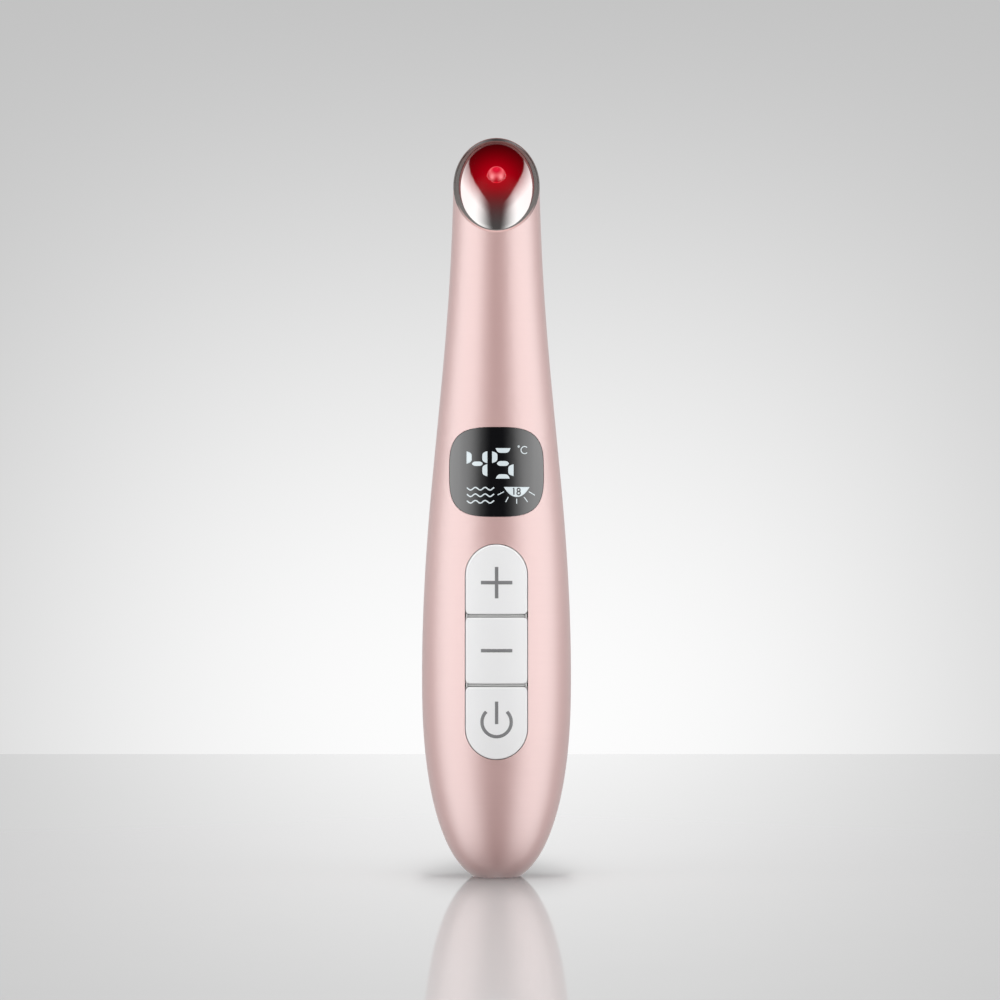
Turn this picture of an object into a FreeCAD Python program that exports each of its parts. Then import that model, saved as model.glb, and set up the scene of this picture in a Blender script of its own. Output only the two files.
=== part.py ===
import FreeCAD, Part
import math
import os

# Heated eye massager wand.
# A slim two-part moulded handle stands on a small flat base. Its neck ends in a slanted mouth that is
# closed by a domed metal massage head with a red light in its middle. A curved display window and three
# keys sit in the front. Inside are the heater and the light, a vibration motor, the display, the main
# board with its key switches, a round cell and the charging socket in the base.
# Millimetres. X is to the viewer's right, Y is towards the back, Z is up. The origin is the centre of
# the base's flat face.

Vector = FreeCAD.Vector

# ---- Overall form of the handle
WAND_HEIGHT = 148.25
BELLY_HEIGHT = 39.5
BELLY_WIDTH = 29.8
BELLY_DEPTH = 27.0
NECK_WIDTH = 17.0
NECK_DEPTH = 17.0
BASE_WIDTH = 9.4
FOOT_FULLNESS = 2.3
BELLY_SWEEP = 40.0
NECK_SWEEP = 47.7
NECK_LEAN = 3.0
LEAN_START = 62.0

# ---- Shells
WALL = 1.8
SEAM_REVEAL = 0.12
LIP_THICKNESS = 0.7
LIP_HEIGHT = 1.2
FIT = 0.1
CLIP_WIDTH = 5.0
CLIP_THICKNESS = 1.1
CLIP_REACH = 3.4
CLIP_BARB = 0.4
CLIP_BARB_LENGTH = 1.2
CLIP_ROOT = 3.0
CLIP_INNER = 4.2
CLIP_HEIGHTS = (26.0, 58.0, 92.0)
RIB_THICKNESS = 1.2
CELL_RIB_HEIGHTS = (39.0, 48.0)
SEAM_KNEE = 78.0
SEAM_BEND = 30.0
MOUTH_ROUND = 0.15

# ---- Massage head
FACE_ELEVATION = 40.1
HEAD_RISE = 2.65
HEAD_SINK = 0.45
HEAD_EDGE = 1.1
MOUTH_LIP = 0.3
GASKET_SEAT = 0.9
GASKET_DROP = 0.05
GASKET_DISH = 0.3
SKIRT_DEPTH = 3.4
SKIRT_THICKNESS = 1.0
BEAD_HEIGHT = 0.5
BEAD_WIDTH = 0.9
BEAD_DEPTH = 2.4
HEATER_POCKET_WIDTH = 9.6
HEATER_POCKET_LENGTH = 12.6
HEATER_POCKET_DEPTH = 1.0
HEATER_THICKNESS = 0.25
LIGHT_BORE = 3.9
LIGHT_PACKAGE = 2.2
LIGHT_PACKAGE_HEIGHT = 0.9
LENS_PROUD = 1.6
LIGHT_BOARD_DIAMETER = 9.0
LIGHT_BOARD_THICKNESS = 0.6
THERMISTOR_DIAMETER = 0.9
THERMISTOR_LENGTH = 1.8
THERMISTOR_PLACE = 5.5
CARRIER_DEPTH = 3.0
CARRIER_SCREW_SPREAD = 4.4
CARRIER_SCREW_PLACE = 6.9
CARRIER_SCREW_FLANGE = 1.9
CARRIER_SCREW_BITE = 0.8
CARRIER_TAB_WIDTH = 3.0
CARRIER_TAB_THICKNESS = 0.9
CARRIER_TAB_DEPTH = 1.0
HARNESS_HOLE = 3.0

# ---- Display
WINDOW_WIDTH = 18.6
WINDOW_HEIGHT = 17.6
WINDOW_CENTRE = 80.75
WINDOW_SQUARENESS = 3.3
WINDOW_THICKNESS = 1.0
WINDOW_TAPE = 0.15
WINDOW_LEDGE = 1.3
DISPLAY_WIDTH = 15.2
DISPLAY_HEIGHT = 14.4
DIGIT_HEIGHT = 6.1
DIGIT_WIDTH = 4.1
DIGIT_STROKE = 1.1
DIGIT_WELL_DEPTH = 1.2
DIGIT_CENTRES = (-3.85, 1.2)
DIGIT_CENTRE_HEIGHT = 82.4

# ---- Keys and their switches
KEYPAD_WIDTH = 12.2
KEYPAD_LOW = 24.0
KEYPAD_HIGH = 66.4
KEY_GROOVES = (38.6, 52.3)
KEY_GAP = 0.6
KEY_CLEARANCE = 0.15
KEY_PROUD = 0.2
KEY_GROOVE_DEPTH = 0.6
KEY_CORNER = 0.9
KEY_EDGE_ROUND = 0.3
KEY_TRAVEL = 0.3
KEY_SKIN = 1.2
KEY_SKIRT = 1.1
KEY_FLANGE = 0.7
KEY_POST = 3.0
KEY_POST_SHIFT = 0.1
SWITCH_SIDE = 6.0
SWITCH_HEIGHT = 3.1
PLUNGER_DIAMETER = 3.4
PLUNGER_HEIGHT = 0.8
PLUNGER_BURIED = 1.0
SWITCH_SLACK = 0.7
RUNNING_FIT = 0.05

# ---- Main board, chassis and cell
BOARD_FRONT = -7.0
BOARD_THICKNESS = 1.0
BOARD_WIDTH = 14.4
BOARD_LOW = 16.0
BOARD_HIGH = 90.0
BOARD_CORNER = 1.5
CHIP_HEIGHT = 0.9
DISPLAY_DRIVER = (0.0, 76.0, 6.0, 6.0)
HEATER_SWITCH = (0.0, 60.0, 5.0, 4.0)
CONTROLLER = (0.0, 48.0, 7.0, 5.0)
CHARGER = (-3.2, 36.0, 3.0, 3.0)
REGULATOR = (3.2, 36.0, 3.0, 3.0)
CELL_GUARD = (0.0, 29.0, 4.0, 2.0)
CHASSIS_GAP = 1.1
CHASSIS_PLATE = 1.0
CHASSIS_LOW = 18.6
CHASSIS_HIGH = 80.0
CELL_DIAMETER = 14.0
CELL_LENGTH = 43.0
CELL_LOW = 22.5
CELL_CLIP_HEIGHTS = (31.0, 56.0)
CELL_CLIP_WIDTH = 4.0
CELL_CLIP_THICKNESS = 1.1
CELL_CLIP_WRAP = 4.0
CELL_STOP = 1.2
CELL_STOP_WIDTH = 5.4
CELL_STOP_DEPTH = 5.9
CELL_BEVEL = 0.5
CELL_TAB = 0.2
CELL_TAB_WIDTH = 4.0
CELL_TAB_REACH = 5.0
SCREW_SHANK = 1.6
SCREW_HEAD = 2.8
SCREW_HEAD_HEIGHT = 1.0
SCREW_BITE = 3.0
SCREW_FIT = 0.02
BOSS_DIAMETER = 3.8
CHASSIS_SCREWS = ((-4.4, 20.6), (4.4, 20.6), (-5.4, 69.2), (5.4, 69.2))

# ---- Vibration motor
MOTOR_DIAMETER = 7.0
MOTOR_ACROSS_FLATS = 6.4
MOTOR_LENGTH = 16.0
BUSH_DIAMETER = 2.5
BUSH_HEIGHT = 0.6
MOTOR_LOW = 97.5
MOTOR_AXIS_Y = -1.6
SHAFT_DIAMETER = 1.0
SHAFT_BURIED = 5.0
WEIGHT_DIAMETER = 6.2
WEIGHT_LENGTH = 4.0
WEIGHT_GAP = 0.4
WEIGHT_HUB = 2.0
SLEEVE_THICKNESS = 1.2
SLEEVE_LENGTH = 12.0
MOTOR_RIB_SPREAD = 8.0
LANE_WIDTH = 4.4

# ---- Charging socket
SOCKET_WIDTH = 8.94
SOCKET_DEPTH = 3.26
SOCKET_LENGTH = 7.35
SOCKET_SHELL = 0.3
SOCKET_RECESS = 0.6
SOCKET_GAP = 0.15
SOCKET_INSERT = 1.8
TONGUE_WIDTH = 6.7
TONGUE_THICKNESS = 0.7
TONGUE_LENGTH = 4.4
CHARGE_BOARD_WIDTH = 10.0
CHARGE_BOARD_THICKNESS = 0.8
CHARGE_BOARD_LOW = 4.2
CHARGE_BOARD_HIGH = 16.0
CHARGE_SCREW_HEIGHT = 13.0
CHARGE_SCREW_SPREAD = 6.8

# ---- Wires
LEAD_DIAMETER = 0.9
LEAD_RUN = 3.6
LEAD_PLACE = 4.0
SLEEVED_DIAMETER = 1.6
BEND_SHARE = 0.45
# Harness: X from the motor sleeve's side, Y from the motor's axis, height above the motor's lower end
HARNESS_ROUTE = ((0.0, 1.6, -1.0), (0.0, 2.2, 11.0), (-1.8, 3.2, 22.0))
HARNESS_START = 2.9
# Cell leads: Y from the cell's axis, height beyond the tab
UPPER_LEAD_ROUTE = ((3.0, 0.0), (3.0, 6.0), (-2.0, 13.0))
UPPER_LEAD_RISE = 17.0
LOWER_LEAD_ROUTE = ((3.0, 0.0), (3.0, -3.0))
LOWER_LEAD_PLACE = 1.6
CHARGE_LEAD_RUN = 3.0
CHARGE_LEAD_PLACE = 1.4

FAR = 300.0
SMALL = 0.01
RISING_STATIONS = 9
FOOT_STATIONS = 7
ABOVE_HEAD = 12.0
FRONT = Vector(0, -1, 0)
BACK = Vector(0, 1, 0)
UP = Vector(0, 0, 1)


# ---- The handle's outline

# From the belly to the top of the neck, with the half width as X
TAPER = Part.BezierCurve()
TAPER.setPoles([
    Vector(BELLY_WIDTH / 2, 0, BELLY_HEIGHT),
    Vector(BELLY_WIDTH / 2, 0, BELLY_HEIGHT + BELLY_SWEEP),
    Vector(NECK_WIDTH / 2, 0, WAND_HEIGHT - NECK_SWEEP),
    Vector(NECK_WIDTH / 2, 0, WAND_HEIGHT),
])


def half_width(z):
    """Half the handle's width at height z: a full rounded foot, then one long taper into the neck."""
    if z < BELLY_HEIGHT:
        share = 1 - (BASE_WIDTH / BELLY_WIDTH) ** FOOT_FULLNESS
        foot_length = BELLY_HEIGHT / share ** (1 / FOOT_FULLNESS)
        drop = (BELLY_HEIGHT - z) / foot_length
        return BELLY_WIDTH / 2 * (1 - drop ** FOOT_FULLNESS) ** (1 / FOOT_FULLNESS)
    if z >= WAND_HEIGHT:
        return NECK_WIDTH / 2
    low, high = 0.0, 1.0
    for _ in range(30):
        middle = (low + high) / 2
        if TAPER.value(middle).z < z:
            low = middle
        else:
            high = middle
    return TAPER.value(low).x


def depth_ratio(z):
    """Depth over width: the belly is a flatter oval than the neck."""
    if z < BELLY_HEIGHT:
        return BELLY_DEPTH / BELLY_WIDTH
    share = (half_width(z) - NECK_WIDTH / 2) / (BELLY_WIDTH / 2 - NECK_WIDTH / 2)
    return NECK_DEPTH / NECK_WIDTH + (BELLY_DEPTH / BELLY_WIDTH - NECK_DEPTH / NECK_WIDTH) * share


def spine(z):
    """Y of the middle of the section at height z: the neck leans forward."""
    share = min(max((z - LEAN_START) / (WAND_HEIGHT - LEAN_START), 0.0), 1.0)
    return -NECK_LEAN * share * share * (3 - 2 * share)


def half_depth(z):
    return half_width(z) * depth_ratio(z)


def front_y(z):
    return spine(z) - half_depth(z)


def back_y(z):
    return spine(z) + half_depth(z)


def oval(z, across, deep, middle):
    """A closed elliptical wire that starts at its back, whatever its proportions."""
    curve = Part.Circle(Vector(0, 0, 0), UP, 1.0).toBSpline()
    for n, pole in enumerate(curve.getPoles()):
        curve.setPole(n + 1, Vector(-pole.y * across, middle + pole.x * deep, z))
    return Part.Wire([curve.toShape()])


BODIES = {}


def body(inset):
    """The handle's outer form as a solid, moved in by inset along its own slope, or out if negative."""
    key = round(inset, 4)
    if key not in BODIES:
        heights = [BELLY_HEIGHT * (1 - math.cos(math.pi / 2 * n / FOOT_STATIONS))
                   for n in range(FOOT_STATIONS)]
        rise = WAND_HEIGHT - BELLY_HEIGHT
        heights += [BELLY_HEIGHT + rise * n / RISING_STATIONS for n in range(RISING_STATIONS + 1)]
        heights += [WAND_HEIGHT + ABOVE_HEAD / 2, WAND_HEIGHT + ABOVE_HEAD]
        wires = []
        for z in heights:
            slope = (half_width(z + SMALL) - half_width(z - SMALL)) / (2 * SMALL)
            lean = math.atan(-slope)
            inward = inset * math.cos(lean)
            wires.append(oval(z - inset * math.sin(lean), half_width(z) - inward,
                              half_depth(z) - inward, spine(z)))
        solid = Part.makeLoft(wires, True, False)
        floor = Part.makeBox(2 * FAR, 2 * FAR, FAR, Vector(-FAR, -FAR, inset - FAR))
        BODIES[key] = solid.cut(floor)
    return BODIES[key]


def band(outer, inner, region):
    """The part of the wall between two insets that lies in region."""
    return body(outer).common(region).cut(body(inner))


def seam_y(z):
    """Y of the seam: upright to the knee, then leaning forward with the neck."""
    return spine(WAND_HEIGHT) * max(z - SEAM_KNEE, 0) / (WAND_HEIGHT - SEAM_KNEE)


def behind(offset):
    """Everything behind the seam, moved back by offset."""
    low = Vector(0, offset, -FAR)
    knee = Vector(0, offset, SEAM_KNEE)
    high = Vector(0, offset + seam_y(FAR), FAR)
    start, middle, end = bend(low, knee, high, SEAM_BEND)
    far_low = Vector(0, FAR, -FAR)
    far_high = Vector(0, FAR, FAR)
    edges = [Part.LineSegment(low, start).toShape(), Part.Arc(start, middle, end).toShape(),
             Part.LineSegment(end, high).toShape(), Part.LineSegment(high, far_high).toShape(),
             Part.LineSegment(far_high, far_low).toShape(), Part.LineSegment(far_low, low).toShape()]
    face = Part.Face(Part.Wire(edges))
    face.translate(Vector(-FAR, 0, 0))
    return face.extrude(Vector(2 * FAR, 0, 0))


# ---- Small shared shapes

def bend(before, corner, after, setback):
    """Start, middle and end of the arc that rounds a corner and leaves both runs at setback from it."""
    into = (corner - before).normalize()
    out = (after - corner).normalize()
    half_turn = into.getAngle(out) / 2
    radius = setback / math.tan(half_turn)
    inward = (out - into).normalize()
    middle = corner + inward * (radius / math.cos(half_turn) - radius)
    return corner - into * setback, middle, corner + out * setback


def box(x0, x1, y0, y1, z0, z1):
    return Part.makeBox(x1 - x0, y1 - y0, z1 - z0, Vector(x0, y0, z0))


def rod(diameter, start, end):
    return Part.makeCylinder(diameter / 2, (end - start).Length, start, end - start)


def slab_across(outline, y0, y1):
    """A flat outline in the XZ plane, drawn at Y zero, as a prism from y0 to y1."""
    face = Part.Face(outline)
    face.translate(Vector(0, y0, 0))
    return face.extrude(Vector(0, y1 - y0, 0))


def rounded(half, z0, z1, low_radius, high_radius):
    """A closed outline in the XZ plane whose lower and upper corners have their own radii."""
    corners = [(half, z1, -1, -1, high_radius, 0), (-half, z1, 1, -1, high_radius, 90),
               (-half, z0, 1, 1, low_radius, 180), (half, z0, -1, 1, low_radius, 270)]
    edges = []
    last = None
    for x, z, toward_x, toward_z, radius, start in corners:
        centre = Vector(x + toward_x * radius, 0, z + toward_z * radius)
        ends = []
        for degrees in (start, start + 45, start + 90):
            turn = math.radians(degrees)
            ends.append(centre + Vector(math.cos(turn), 0, math.sin(turn)) * radius)
        if last is not None and (ends[0] - last).Length > SMALL:
            edges.append(Part.LineSegment(last, ends[0]).toShape())
        edges.append(Part.Arc(*ends).toShape())
        last = ends[2]
    first = edges[0].Vertexes[0].Point
    if (first - last).Length > SMALL:
        edges.append(Part.LineSegment(last, first).toShape())
    return Part.Wire(Part.sortEdges(edges)[0])


def squircle(inset):
    """The display window's outline, moved in by inset."""
    points = []
    for n in range(32):
        turn = 2 * math.pi * n / 32
        c, s = math.cos(turn), math.sin(turn)
        power = 2 / WINDOW_SQUARENESS
        x = math.copysign(abs(c) ** power, c) * (WINDOW_WIDTH / 2 - inset)
        rise = math.copysign(abs(s) ** power, s) * (WINDOW_HEIGHT / 2 - inset)
        points.append(Vector(x, 0, WINDOW_CENTRE + rise))
    curve = Part.BSplineCurve()
    curve.interpolate(points, PeriodicFlag=True)
    return Part.Wire([curve.toShape()])


def screw(seat, into, length):
    """A flat-topped screw. Its head's underside is at seat and its shank runs along into."""
    way = Vector(into).normalize()
    shank = rod(SCREW_SHANK, seat, seat + way * length)
    return shank.fuse(rod(SCREW_HEAD, seat, seat - way * SCREW_HEAD_HEIGHT))


def wire(points, diameter):
    """A round wire along straight runs that are joined by tangent arcs."""
    edges = []
    last = points[0]
    for before, corner, after in zip(points, points[1:], points[2:]):
        setback = BEND_SHARE * min((corner - before).Length, (after - corner).Length)
        start, middle, end = bend(before, corner, after, setback)
        edges.append(Part.LineSegment(last, start).toShape())
        edges.append(Part.Arc(start, middle, end).toShape())
        last = end
    edges.append(Part.LineSegment(last, points[-1]).toShape())
    ring = Part.Circle(points[0], points[1] - points[0], diameter / 2).toShape()
    return Part.Wire(edges).makePipeShell([Part.Wire([ring])], True, True)


# ---- The slanted face of the head

def slant_meets(edge_y):
    """Height at which the slanted plane through the handle's top back edge meets one side of it."""
    rise_per_depth = 1 / math.tan(math.radians(FACE_ELEVATION))
    low, high = BELLY_HEIGHT, WAND_HEIGHT
    for _ in range(40):
        middle = (low + high) / 2
        plane = WAND_HEIGHT + (edge_y(middle) - back_y(WAND_HEIGHT)) * rise_per_depth
        if plane < middle:
            high = middle
        else:
            low = middle
    return low


LIP_FRONT = slant_meets(front_y)
FACE_CENTRE = Vector(0, (front_y(LIP_FRONT) + back_y(WAND_HEIGHT)) / 2, (LIP_FRONT + WAND_HEIGHT) / 2)
FACE_LENGTH = math.hypot(back_y(WAND_HEIGHT) - front_y(LIP_FRONT), WAND_HEIGHT - LIP_FRONT)
FACE_PLACE = FreeCAD.Placement(FACE_CENTRE, FreeCAD.Rotation(Vector(1, 0, 0), 90 - FACE_ELEVATION))
FACE_NORMAL = FACE_PLACE.Rotation.multVec(UP)
HEAD_ACROSS = half_width(FACE_CENTRE.z) - HEAD_EDGE
HEAD_ALONG = FACE_LENGTH / 2 - HEAD_EDGE


def on_face(shape):
    """Moves a shape that is drawn on the face's own axes to its place: X across, Y up the slant, Z out."""
    shape.Placement = FACE_PLACE.multiply(shape.Placement)
    return shape


def face_slab(low, high):
    """Everything between two distances in front of the slanted plane."""
    return on_face(box(-FAR, FAR, -FAR, FAR, low, high))


def face_oval(across, along, low, high):
    """An upright elliptical block on the slanted face."""
    wire_low = oval(low, across, along, 0)
    return on_face(Part.Face(wire_low).extrude(Vector(0, 0, high - low)))


def massage_head():
    """Metal dome sunk into the mouth, with a heater pocket, a hole for the light and a skirt."""
    crown = HEAD_RISE + HEAD_SINK
    radius = (HEAD_ACROSS ** 2 + crown ** 2) / (2 * crown)
    ball = Part.makeSphere(radius, UP * (HEAD_RISE - radius))
    cap = ball.common(box(-FAR, FAR, -FAR, FAR, -HEAD_SINK, FAR))
    stretch = FreeCAD.Matrix()
    stretch.scale(1, HEAD_ALONG / HEAD_ACROSS, 1)
    dome = on_face(cap.transformGeometry(stretch))
    outer = WALL + FIT
    skirt = band(outer, outer + SKIRT_THICKNESS, face_slab(-SKIRT_DEPTH, 0))
    bead = band(outer - BEAD_HEIGHT, outer + SKIRT_THICKNESS / 2,
                face_slab(-BEAD_DEPTH - BEAD_WIDTH, -BEAD_DEPTH))
    head = dome.fuse([skirt, bead])
    pocket = face_oval(HEATER_POCKET_WIDTH / 2, HEATER_POCKET_LENGTH / 2,
                       -HEAD_SINK - SMALL, HEATER_POCKET_DEPTH)
    head = head.cut([pocket, light_rod(LIGHT_BORE, 0, FAR)])
    for start, seat in carrier_screw_lines():
        end = start + FACE_NORMAL * (CARRIER_SCREW_BITE + FIT)
        head = head.cut(rod(SCREW_SHANK + 2 * SCREW_FIT, seat, end))
    return head.cut(carrier_tab(FIT))


def light_rod(diameter, low, high):
    """A round rod on the light's axis, between two distances in front of the slanted plane."""
    return on_face(rod(diameter, UP * low, UP * high))


def carrier_tab(gap):
    """The block at the top of the carrier that hooks into the skirt."""
    half = CARRIER_TAB_WIDTH / 2 + gap
    high = -CARRIER_TAB_DEPTH + gap
    low = -CARRIER_TAB_DEPTH - CARRIER_TAB_THICKNESS - gap
    outer = WALL + FIT + SKIRT_THICKNESS / 2
    region = on_face(box(-half, half, 0, FAR, low, high))
    return band(outer - gap, outer + SKIRT_THICKNESS, region)


def head_gasket():
    """Grey seal in the mouth's seat: the dome stands on it, and its visible edge slopes in to the dome."""
    ring = band(MOUTH_LIP + RUNNING_FIT, WALL, face_slab(-GASKET_SEAT, -GASKET_DROP))
    across = HEAD_ACROSS + RUNNING_FIT
    along = HEAD_ALONG + RUNNING_FIT
    reach = HEAD_EDGE - MOUTH_LIP
    dish = Part.makeLoft([oval(-GASKET_DROP - GASKET_DISH, across, along, 0),
                          oval(-GASKET_DROP, across + reach, along + reach, 0)], True, True)
    return ring.cut([on_face(dish), face_oval(across, along, -HEAD_SINK, FAR)])


def carrier_screw_lines():
    """Where the two carrier screws enter the dome's underside, and their heads' seats."""
    lines = []
    for side in (-1, 1):
        start = FACE_PLACE.multVec(Vector(side * CARRIER_SCREW_SPREAD / 2, -CARRIER_SCREW_PLACE, 0))
        lines.append((start, start - FACE_NORMAL * CARRIER_SCREW_FLANGE))
    return lines


LIGHT_BOARD_TOP = HEATER_POCKET_DEPTH - HEATER_THICKNESS


def heater_foil():
    """Film heater bonded to the floor of the head's pocket, open round the light."""
    margin = 2 * FIT
    foil = face_oval(HEATER_POCKET_WIDTH / 2 - margin, HEATER_POCKET_LENGTH / 2 - margin,
                     LIGHT_BOARD_TOP, HEATER_POCKET_DEPTH)
    return foil.cut(light_rod(LIGHT_BORE, 0, FAR))


def thermistor():
    """Bead on the underside of the heater, beside the light board."""
    middle = LIGHT_BOARD_TOP - THERMISTOR_DIAMETER / 2
    half = THERMISTOR_LENGTH / 2
    start = Vector(-half, THERMISTOR_PLACE, middle)
    end = Vector(half, THERMISTOR_PLACE, middle)
    return on_face(rod(THERMISTOR_DIAMETER, start, end))


def light_board():
    """Small round board that carries the light."""
    return light_rod(LIGHT_BOARD_DIAMETER, LIGHT_BOARD_TOP - LIGHT_BOARD_THICKNESS, LIGHT_BOARD_TOP)


def red_light():
    """Light-emitting die package on its board, inside the head's bore."""
    half = LIGHT_PACKAGE / 2
    return on_face(box(-half, half, -half, half,
                       LIGHT_BOARD_TOP, LIGHT_BOARD_TOP + LIGHT_PACKAGE_HEIGHT))


def light_lens():
    """Clear plug with a domed top that stands proud of the head."""
    radius = LIGHT_BORE / 2 - RUNNING_FIT
    low = LIGHT_BOARD_TOP + LIGHT_PACKAGE_HEIGHT + FIT
    shoulder = HEAD_RISE - FIT
    rise = LENS_PROUD + FIT
    crown = (radius ** 2 + rise ** 2) / (2 * rise)
    ball = on_face(Part.makeSphere(crown, UP * (shoulder + rise - crown)))
    top = light_rod(2 * radius, shoulder, shoulder + rise).common(ball)
    return light_rod(2 * radius, low, shoulder).fuse(top)


def head_carrier():
    """Moulded plug that fills the skirt, holds the light board up and is screwed to the dome."""
    low = -HEAD_SINK - CARRIER_DEPTH
    inset = WALL + FIT + SKIRT_THICKNESS + FIT
    plug = body(inset).common(face_slab(low, -HEAD_SINK - FIT))
    pad = light_rod(LIGHT_BOARD_DIAMETER, low, LIGHT_BOARD_TOP - LIGHT_BOARD_THICKNESS)
    plug = plug.fuse([pad, carrier_tab(0)])
    plug = plug.cut(light_rod(HARNESS_HOLE, low - FIT, FAR))
    for start, seat in carrier_screw_lines():
        entry = start - FACE_NORMAL * (HEAD_SINK + CARRIER_DEPTH + FIT)
        plug = plug.cut(rod(SCREW_SHANK + 2 * FIT, entry, start))
        plug = plug.cut(rod(SCREW_HEAD + 2 * FIT, entry, seat))
    return plug


def carrier_screws():
    length = CARRIER_SCREW_FLANGE + CARRIER_SCREW_BITE
    return Part.Compound([screw(seat, FACE_NORMAL, length) for _, seat in carrier_screw_lines()])


# ---- Shells

BOARD_BACK = BOARD_FRONT + BOARD_THICKNESS
SOCKET_LOW = SOCKET_RECESS
CHARGE_BOARD_FRONT = SOCKET_DEPTH / 2
CHARGE_BOARD_BACK = CHARGE_BOARD_FRONT + CHARGE_BOARD_THICKNESS
MOTOR_HIGH = MOTOR_LOW + MOTOR_LENGTH
SLEEVE_RADIUS = MOTOR_DIAMETER / 2 + SLEEVE_THICKNESS


def whole_wall():
    """The handle's wall before it is split, closed at the base, with a thin lip round the slanted mouth."""
    handle = body(0).common(face_slab(-2 * FAR, 0))
    mouth = max(handle.Edges, key=lambda e: e.CenterOfMass.z)
    handle = handle.makeFillet(MOUTH_ROUND, [mouth])
    groove = body(WALL - BEAD_HEIGHT).common(
        face_slab(-BEAD_DEPTH - BEAD_WIDTH - FIT, -BEAD_DEPTH + FIT))
    seat = body(MOUTH_LIP).common(face_slab(-GASKET_SEAT, FAR))
    return handle.cut([body(WALL), groove, seat])


WHOLE_WALL = whole_wall()


def socket_outline(grow, z0, z1):
    """Rounded block round the charging socket."""
    half_x = SOCKET_WIDTH / 2 + grow
    half_y = SOCKET_DEPTH / 2 + grow
    block = box(-half_x, half_x, -half_y, half_y, z0, z1)
    upright = [e for e in block.Edges if abs(e.tangentAt(e.FirstParameter).z) > 0.99]
    return block.makeFillet(half_y - SMALL, upright)


def motor_webs():
    """Two webs across the neck with round seats for the motor's sleeve and a lane for the harness."""
    middle = MOTOR_LOW + MOTOR_LENGTH / 2
    low = middle - MOTOR_RIB_SPREAD / 2 - RIB_THICKNESS / 2
    high = middle + MOTOR_RIB_SPREAD / 2 - RIB_THICKNESS / 2
    slabs = Part.Compound([box(-FAR, FAR, -FAR, FAR, z, z + RIB_THICKNESS) for z in (low, high)])
    bore = rod(2 * SLEEVE_RADIUS, Vector(0, MOTOR_AXIS_Y, 0), Vector(0, MOTOR_AXIS_Y, WAND_HEIGHT))
    lane = box(0, FAR, MOTOR_AXIS_Y, MOTOR_AXIS_Y + LANE_WIDTH, 0, WAND_HEIGHT).common(body(WALL))
    return body(WALL - FIT).common(slabs).cut(bore).cut(lane)


def cell_webs():
    """Two webs behind the cell that keep it in its clips."""
    slabs = [box(-CELL_DIAMETER / 2, CELL_DIAMETER / 2, CELL_Y, FAR, z, z + RIB_THICKNESS)
             for z in CELL_RIB_HEIGHTS]
    bore = rod(CELL_DIAMETER + 4 * FIT, Vector(0, CELL_Y, 0), Vector(0, CELL_Y, WAND_HEIGHT))
    return body(WALL - FIT).common(Part.Compound(slabs)).cut(bore)


def clip_regions(from_seam, to_seam, extra):
    """Blocks round the six seam clips, between two distances in front of the seam."""
    half = CLIP_WIDTH / 2 + extra
    regions = []
    for z in CLIP_HEIGHTS:
        seam = seam_y(z)
        for x0, x1 in ((-FAR, -CLIP_INNER), (CLIP_INNER, FAR)):
            regions.append(box(x0, x1, seam - to_seam, seam - from_seam, z - half, z + half))
    return Part.Compound(regions)


BARB_FROM_SEAM = CLIP_REACH - CLIP_BARB_LENGTH


def rear_shell():
    """Back half of the handle, with the seam's tongue, six clips, and seats for cell, motor and socket."""
    step = behind(-2 * LIP_HEIGHT).cut([behind(0), body(WALL - LIP_THICKNESS)])
    clips = band(WALL - CLIP_BARB, WALL + FIT + CLIP_THICKNESS, clip_regions(-CLIP_ROOT, CLIP_REACH, 0))
    slack = clip_regions(-LIP_HEIGHT, BARB_FROM_SEAM, FIT).cut(body(WALL + FIT))
    clips = clips.cut(slack)
    webs = motor_webs().common(behind(FIT))
    bosses = []
    pilots = []
    for seat in charge_screw_seats():
        foot = seat + BACK * CHARGE_BOARD_THICKNESS
        bosses.append(rod(BOSS_DIAMETER, foot, foot + BACK * BELLY_DEPTH).common(body(WALL - FIT)))
        pilots.append(rod(SCREW_SHANK + 2 * SCREW_FIT, foot, foot + BACK * (SCREW_BITE + FIT)))
    shell = WHOLE_WALL.common(behind(-LIP_HEIGHT)).cut(step)
    shell = shell.fuse([clips, webs, cell_webs()] + bosses)
    return shell.cut(pilots + [socket_outline(SOCKET_GAP, -WALL, 2 * WALL)])


def front_shell():
    """Front half of the handle, with the window's seat, the keypad's opening and the chassis bosses."""
    rebate = body(WALL - LIP_THICKNESS - FIT).common(behind(-LIP_HEIGHT - FIT))
    catches = body(WALL - CLIP_BARB - FIT).common(clip_regions(BARB_FROM_SEAM - FIT, CLIP_REACH + FIT, FIT))
    webs = motor_webs().cut(behind(-LIP_HEIGHT - 2 * FIT))
    bosses = []
    pilots = []
    for x, z in CHASSIS_SCREWS:
        foot = Vector(x, BOARD_FRONT, z)
        bosses.append(rod(BOSS_DIAMETER, foot, foot + FRONT * BELLY_DEPTH).common(body(WALL - FIT)))
        pilots.append(rod(SCREW_SHANK + 2 * SCREW_FIT, foot, foot + FRONT * (SCREW_BITE + FIT)))
    half = KEYPAD_WIDTH / 2 + KEY_CLEARANCE
    keypad = slab_across(rounded(half, KEYPAD_LOW - KEY_CLEARANCE, KEYPAD_HIGH + KEY_CLEARANCE, half, half),
                         -FAR, BOARD_FRONT)
    seat = slab_across(squircle(-FIT), -FAR, 0).cut(body(WINDOW_THICKNESS + WINDOW_TAPE))
    view = slab_across(squircle(WINDOW_LEDGE), -FAR, BOARD_FRONT)
    shell = WHOLE_WALL.cut([behind(-SEAM_REVEAL), rebate])
    shell = shell.fuse([webs] + bosses)
    return shell.cut([catches, seat, view, keypad, socket_outline(SOCKET_GAP, -WALL, 2 * WALL)] + pilots)


# ---- Display

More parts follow.
